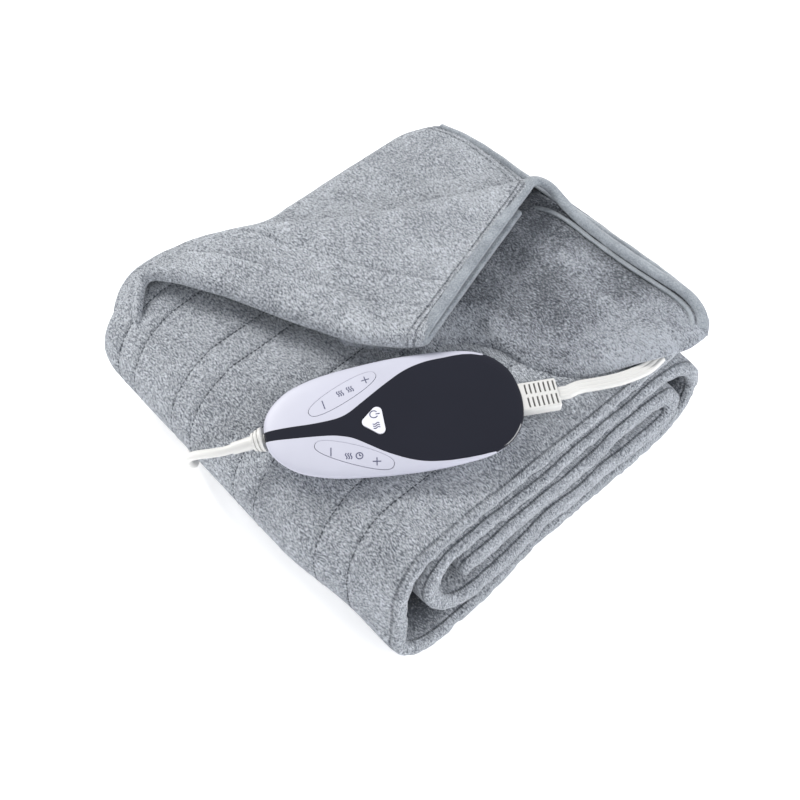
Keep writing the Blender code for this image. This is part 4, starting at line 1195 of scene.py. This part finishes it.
def slab(name, ring, low, high):
    """A flat outline of x, y points in mm, raised from one height to another."""
    clear_choice()
    bpy.ops.mesh.primitive_circle_add(vertices=len(ring), radius=1.0, fill_type="NGON")
    piece = named(name)
    for vertex, (x, y) in zip(piece.data.vertices, ring):
        vertex.co = Vector((x, y, low)) * MM
    choose(piece)
    bpy.ops.object.mode_set(mode="EDIT")
    bpy.ops.mesh.select_all(action="SELECT")
    bpy.ops.mesh.extrude_region_move(TRANSFORM_OT_translate={"value": (0.0, 0.0, (high - low) * MM)})
    bpy.ops.object.mode_set(mode="OBJECT")
    face_out(piece)
    return piece


def carve(piece, cutter, operation="DIFFERENCE"):
    step = piece.modifiers.new(operation.lower(), "BOOLEAN")
    step.operation = operation
    step.solver = "EXACT"
    step.object = cutter
    apply_all(piece)


def grown(ring, margin):
    """A ring of points moved out by a margin, whichever way round it runs."""
    area = sum(a[0] * b[1] - b[0] * a[1] for a, b in zip(ring, ring[1:] + ring[:1]))
    side = 1.0 if area > 0 else -1.0
    result = []
    for index, here in enumerate(ring):
        a, b = ring[index - 1], ring[(index + 1) % len(ring)]
        before = Vector((here[1] - a[1], a[0] - here[0])).normalized()
        after = Vector((b[1] - here[1], here[0] - b[0])).normalized()
        outward = (before + after).normalized() * side * margin
        result.append((here[0] + outward.x, here[1] + outward.y))
    return result


def window_ring():
    """The inlay's outline. At both ends it runs out past the shell, so it wraps over the edge."""
    far = through([(x, y) for x, y, _ in WINDOW if x <= WRAP_FROM], 4)
    near = through([(x, y) for x, _, y in reversed(WINDOW) if x <= WRAP_FROM], 4)
    return [tuple(p) for p in (*far, *WRAP_FAR, (92.0, 30.0), (92.0, -30.0), *WRAP_NEAR, *near)]


def triangle_ring():
    """The power key: a triangle with large round corners."""
    corners = ((-POWER_LONG / 2, 0.0), (POWER_LONG / 2, -POWER_WIDE / 2), (POWER_LONG / 2, POWER_WIDE / 2))
    middle = (POWER_LONG / 6, 0.0)
    ring = []
    for corner in corners:
        span = math.dist(corner, middle)
        inset = POWER_CORNER * 1.6 / span
        centre = (mix(corner[0], middle[0], inset), mix(corner[1], middle[1], inset))
        facing = math.atan2(corner[1] - middle[1], corner[0] - middle[0])
        for step in range(13):
            angle = facing + math.radians(mix(-POWER_CORNER_TURN, POWER_CORNER_TURN, step / 12))
            ring.append((centre[0] + POWER_CORNER * math.cos(angle) + POWER_AT[0],
                         centre[1] + POWER_CORNER * math.sin(angle) + POWER_AT[1]))
    return ring


def lens_ring(side):
    """A rocker key: a pointed oval, turned away from the middle line."""
    turn = ROCKER_TURN * side
    ring = []
    for flip in (1, -1):
        for step in range(24):
            share = step / 24
            x = flip * ROCKER_LONG / 2 * math.cos(math.pi * share)
            y = flip * ROCKER_WIDE / 2 * math.sin(math.pi * share) ** 0.75
            ring.append((ROCKER_AT[0] + x * math.cos(turn) - y * math.sin(turn),
                         ROCKER_MIDDLE + side * ROCKER_AT[1] + x * math.sin(turn) + y * math.cos(turn)))
    return ring


def discard(*pieces):
    for piece in pieces:
        bpy.data.objects.remove(piece, do_unlink=True)


def cut_out(ring, low, high, *pieces):
    """One upright opening through several pieces."""
    cutter = slab("cutter", ring, low, high)
    for piece in pieces:
        carve(piece, cutter)
    discard(cutter)


def set_on_pile(piece):
    face_out(piece)
    piece.matrix_world = CONTROL
    fix_place(piece)
    shade(piece, 32.0)


def control():
    """The shell's two halves, the inlay and the three keys; returns the keys by their bodies."""
    base = ringed("shell_base", BASE_RINGS)
    cover = ringed("shell_cover", COVER_RINGS)
    roof = ringed("roof", COVER_RINGS)
    glass_floor = ringed("glass_floor", COVER_RINGS, raised=GLASS_UNDER)
    recess_floor = ringed("recess_floor", COVER_RINGS, raised=RECESS_UNDER)
    inlay = slab("glass_inlay", window_ring(), 0.0, ABOVE)
    carve(inlay, roof, "INTERSECT")
    carve(inlay, glass_floor)
    recess = slab("recess", grown(window_ring(), INLAY_GAP), 0.0, ABOVE)
    carve(recess, recess_floor)
    carve(cover, recess)
    discard(roof, glass_floor, recess_floor, recess)
    cut_out(grown(triangle_ring(), POWER_GAP), POWER_HOLE_FOOT, ABOVE, inlay, cover)
    keys = {}
    # Piece, outline, foot, how far it stands over the shell, body
    for name, ring, foot, proud, body in (
            ("key_power", triangle_ring(), 13.0, 0.7, "power_key"),
            ("key_far", lens_ring(1), 12.6, 0.25, "rocker_far"),
            ("key_near", lens_ring(-1), 12.6, 0.25, "rocker_near")):
        if body != "power_key":
            cut_out(grown(ring, ROCKER_GAP), ROCKER_HOLE_FOOT, ABOVE, cover)
        keys[body] = slab(name, ring, foot, ABOVE)
        lid = ringed("lid", COVER_RINGS, raised=proud)
        carve(keys[body], lid, "INTERSECT")
        discard(lid)
    cut_out(POCKET, POCKET_FOOT, POCKET_TOP, base, cover)
    for piece, body, slot, skin, node in (
            (base, BODY, "shell", SHELL, "control_base"), (cover, BODY, "shell", SHELL, "control_cover"),
            (inlay, BODY, "window", GLASS, "control_window"),
            (keys["power_key"], "power_key", "key", KEY, "power_key"),
            (keys["rocker_far"], "rocker_far", "shell", SHELL, "rocker_far"),
            (keys["rocker_near"], "rocker_near", "shell", SHELL, "rocker_near")):
        set_on_pile(piece)
        fit(piece, body, skin, (node,))
    return keys


keys = control()


# ---------------- signs on the keys
SIGN_WIDE, SIGN_STEP, SIGN_SUNK = 0.8, 0.6, 0.22
# The rockers lie at 26 degrees and their signs turn by about a third of that
SIGN_TURN = 26.0 * 0.35


def arc(cx, cy, radius, start, end, steps):
    return [(cx + radius * math.cos(math.radians(mix(start, end, k / steps))),
             cy + radius * math.sin(math.radians(mix(start, end, k / steps)))) for k in range(steps + 1)]


def waves(cx, cy, high, apart):
    """Rising heat: three short wavy strokes side by side."""
    return [[(cx + index * apart + 0.5 * math.sin(2 * math.pi * k / 10), cy + high * (k / 10 - 0.5))
             for k in range(11)] for index in (-1, 0, 1)]


def turned_about(lines, cx, cy, angle):
    c, s = math.cos(math.radians(angle)), math.sin(math.radians(angle))
    return [[(cx + (x - cx) * c - (y - cy) * s, cy + (x - cx) * s + (y - cy) * c) for x, y in line]
            for line in lines]


def clock(cx, cy, radius):
    return [arc(cx, cy, radius, 0, 360, 20), [(cx, cy + radius * 0.62), (cx, cy), (cx + radius * 0.5, cy)]]


def signs(name, body, lines, width=SIGN_WIDE):
    """Thin printed strokes that lie on a key's top."""
    tree = surface_of(keys[body])
    up = (CONTROL.to_3x3() @ Vector((0.0, 0.0, 1.0))).normalized()
    strokes = []
    for line in lines:
        route = []
        for a, b in zip(line, line[1:]):
            parts = max(1, round(math.dist(a, b) / SIGN_STEP))
            route += [(mix(a[0], b[0], k / parts), mix(a[1], b[1], k / parts)) for k in range(parts)]
        route.append(line[-1])
        places = []
        for x, y in route:
            hit = tree.ray_cast(CONTROL @ (Vector((x, y, ABOVE)) * MM), -up, 0.05)
            if hit[0] is not None:
                places.append(hit[0] - up * width * SIGN_SUNK * MM)
        if len(places) > 1:
            strokes.append(to_mesh(tube(name, places, width / 2 * MM, 2)))
    piece = join(strokes, name)
    face_out(piece)
    shade(piece)
    fit(piece, body, SIGN)


# Body, the way its signs turn, and the places of the minus, the plus and the two signs between them
ROCKER_SIGNS = (
    ("rocker_far", SIGN_TURN, (-43.2, 13.3), (-14.0, 26.8), (-31.5, 19.6), (-24.8, 21.6)),
    ("rocker_near", -SIGN_TURN, (-44.0, -20.9), (-17.0, -32.0), (-33.6, -25.4), (-27.0, -26.4)),
)
for body, turn, minus, plus, left, right in ROCKER_SIGNS:
    for_plus = [[(plus[0], plus[1] - 2.6), (plus[0], plus[1] + 2.6)],
                [(plus[0] - 2.6, plus[1]), (plus[0] + 2.6, plus[1])]]
    last = clock(*right, 2.1) if body == "rocker_near" else waves(*right, 4.0, 1.5)
    strokes = []
    for lines, middle in (([[(minus[0], minus[1] - 3.2), (minus[0], minus[1] + 3.2)]], minus),
                          (for_plus, plus), (waves(*left, 4.0, 1.5), left), (last, right)):
        strokes += turned_about(lines, *middle, turn)
    signs(body.replace("rocker", "signs"), body, strokes)
on_off = turned_about([arc(-13.2, 0.2, 2.5, 125, 415, 22), [(-13.2, 1.4), (-13.2, 4.0)]], -13.2, 0.2, -90)
signs("signs_power", "power_key", on_off + turned_about(waves(-12.9, -8.0, 4.2, 1.5), -12.9, -8.0, 90))


# ---------------- strain reliefs
def finer_copy(name, node):
    """A copy of a plain relief, its loose triangles merged and its round sides shaded smooth."""
    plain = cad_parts[node]
    piece = plain.copy()
    piece.data = plain.data.copy()
    bpy.context.scene.collection.objects.link(piece)
    piece.name = name
    world = plain.matrix_world.copy()
    piece.parent = None
    piece.matrix_world = world
    choose(piece)
    bpy.ops.object.mode_set(mode="EDIT")
    bpy.ops.mesh.select_all(action="SELECT")
    bpy.ops.mesh.remove_doubles(threshold=0.00001)
    bpy.ops.mesh.dissolve_limited(angle_limit=math.radians(0.5))
    bpy.ops.object.mode_set(mode="OBJECT")
    shade(piece, 35.0)
    fit(piece, BODY, CORD, (node,))


finer_copy("relief_ribbed", "mains_relief")
finer_copy("relief_slotted", "lead_relief")

low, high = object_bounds()
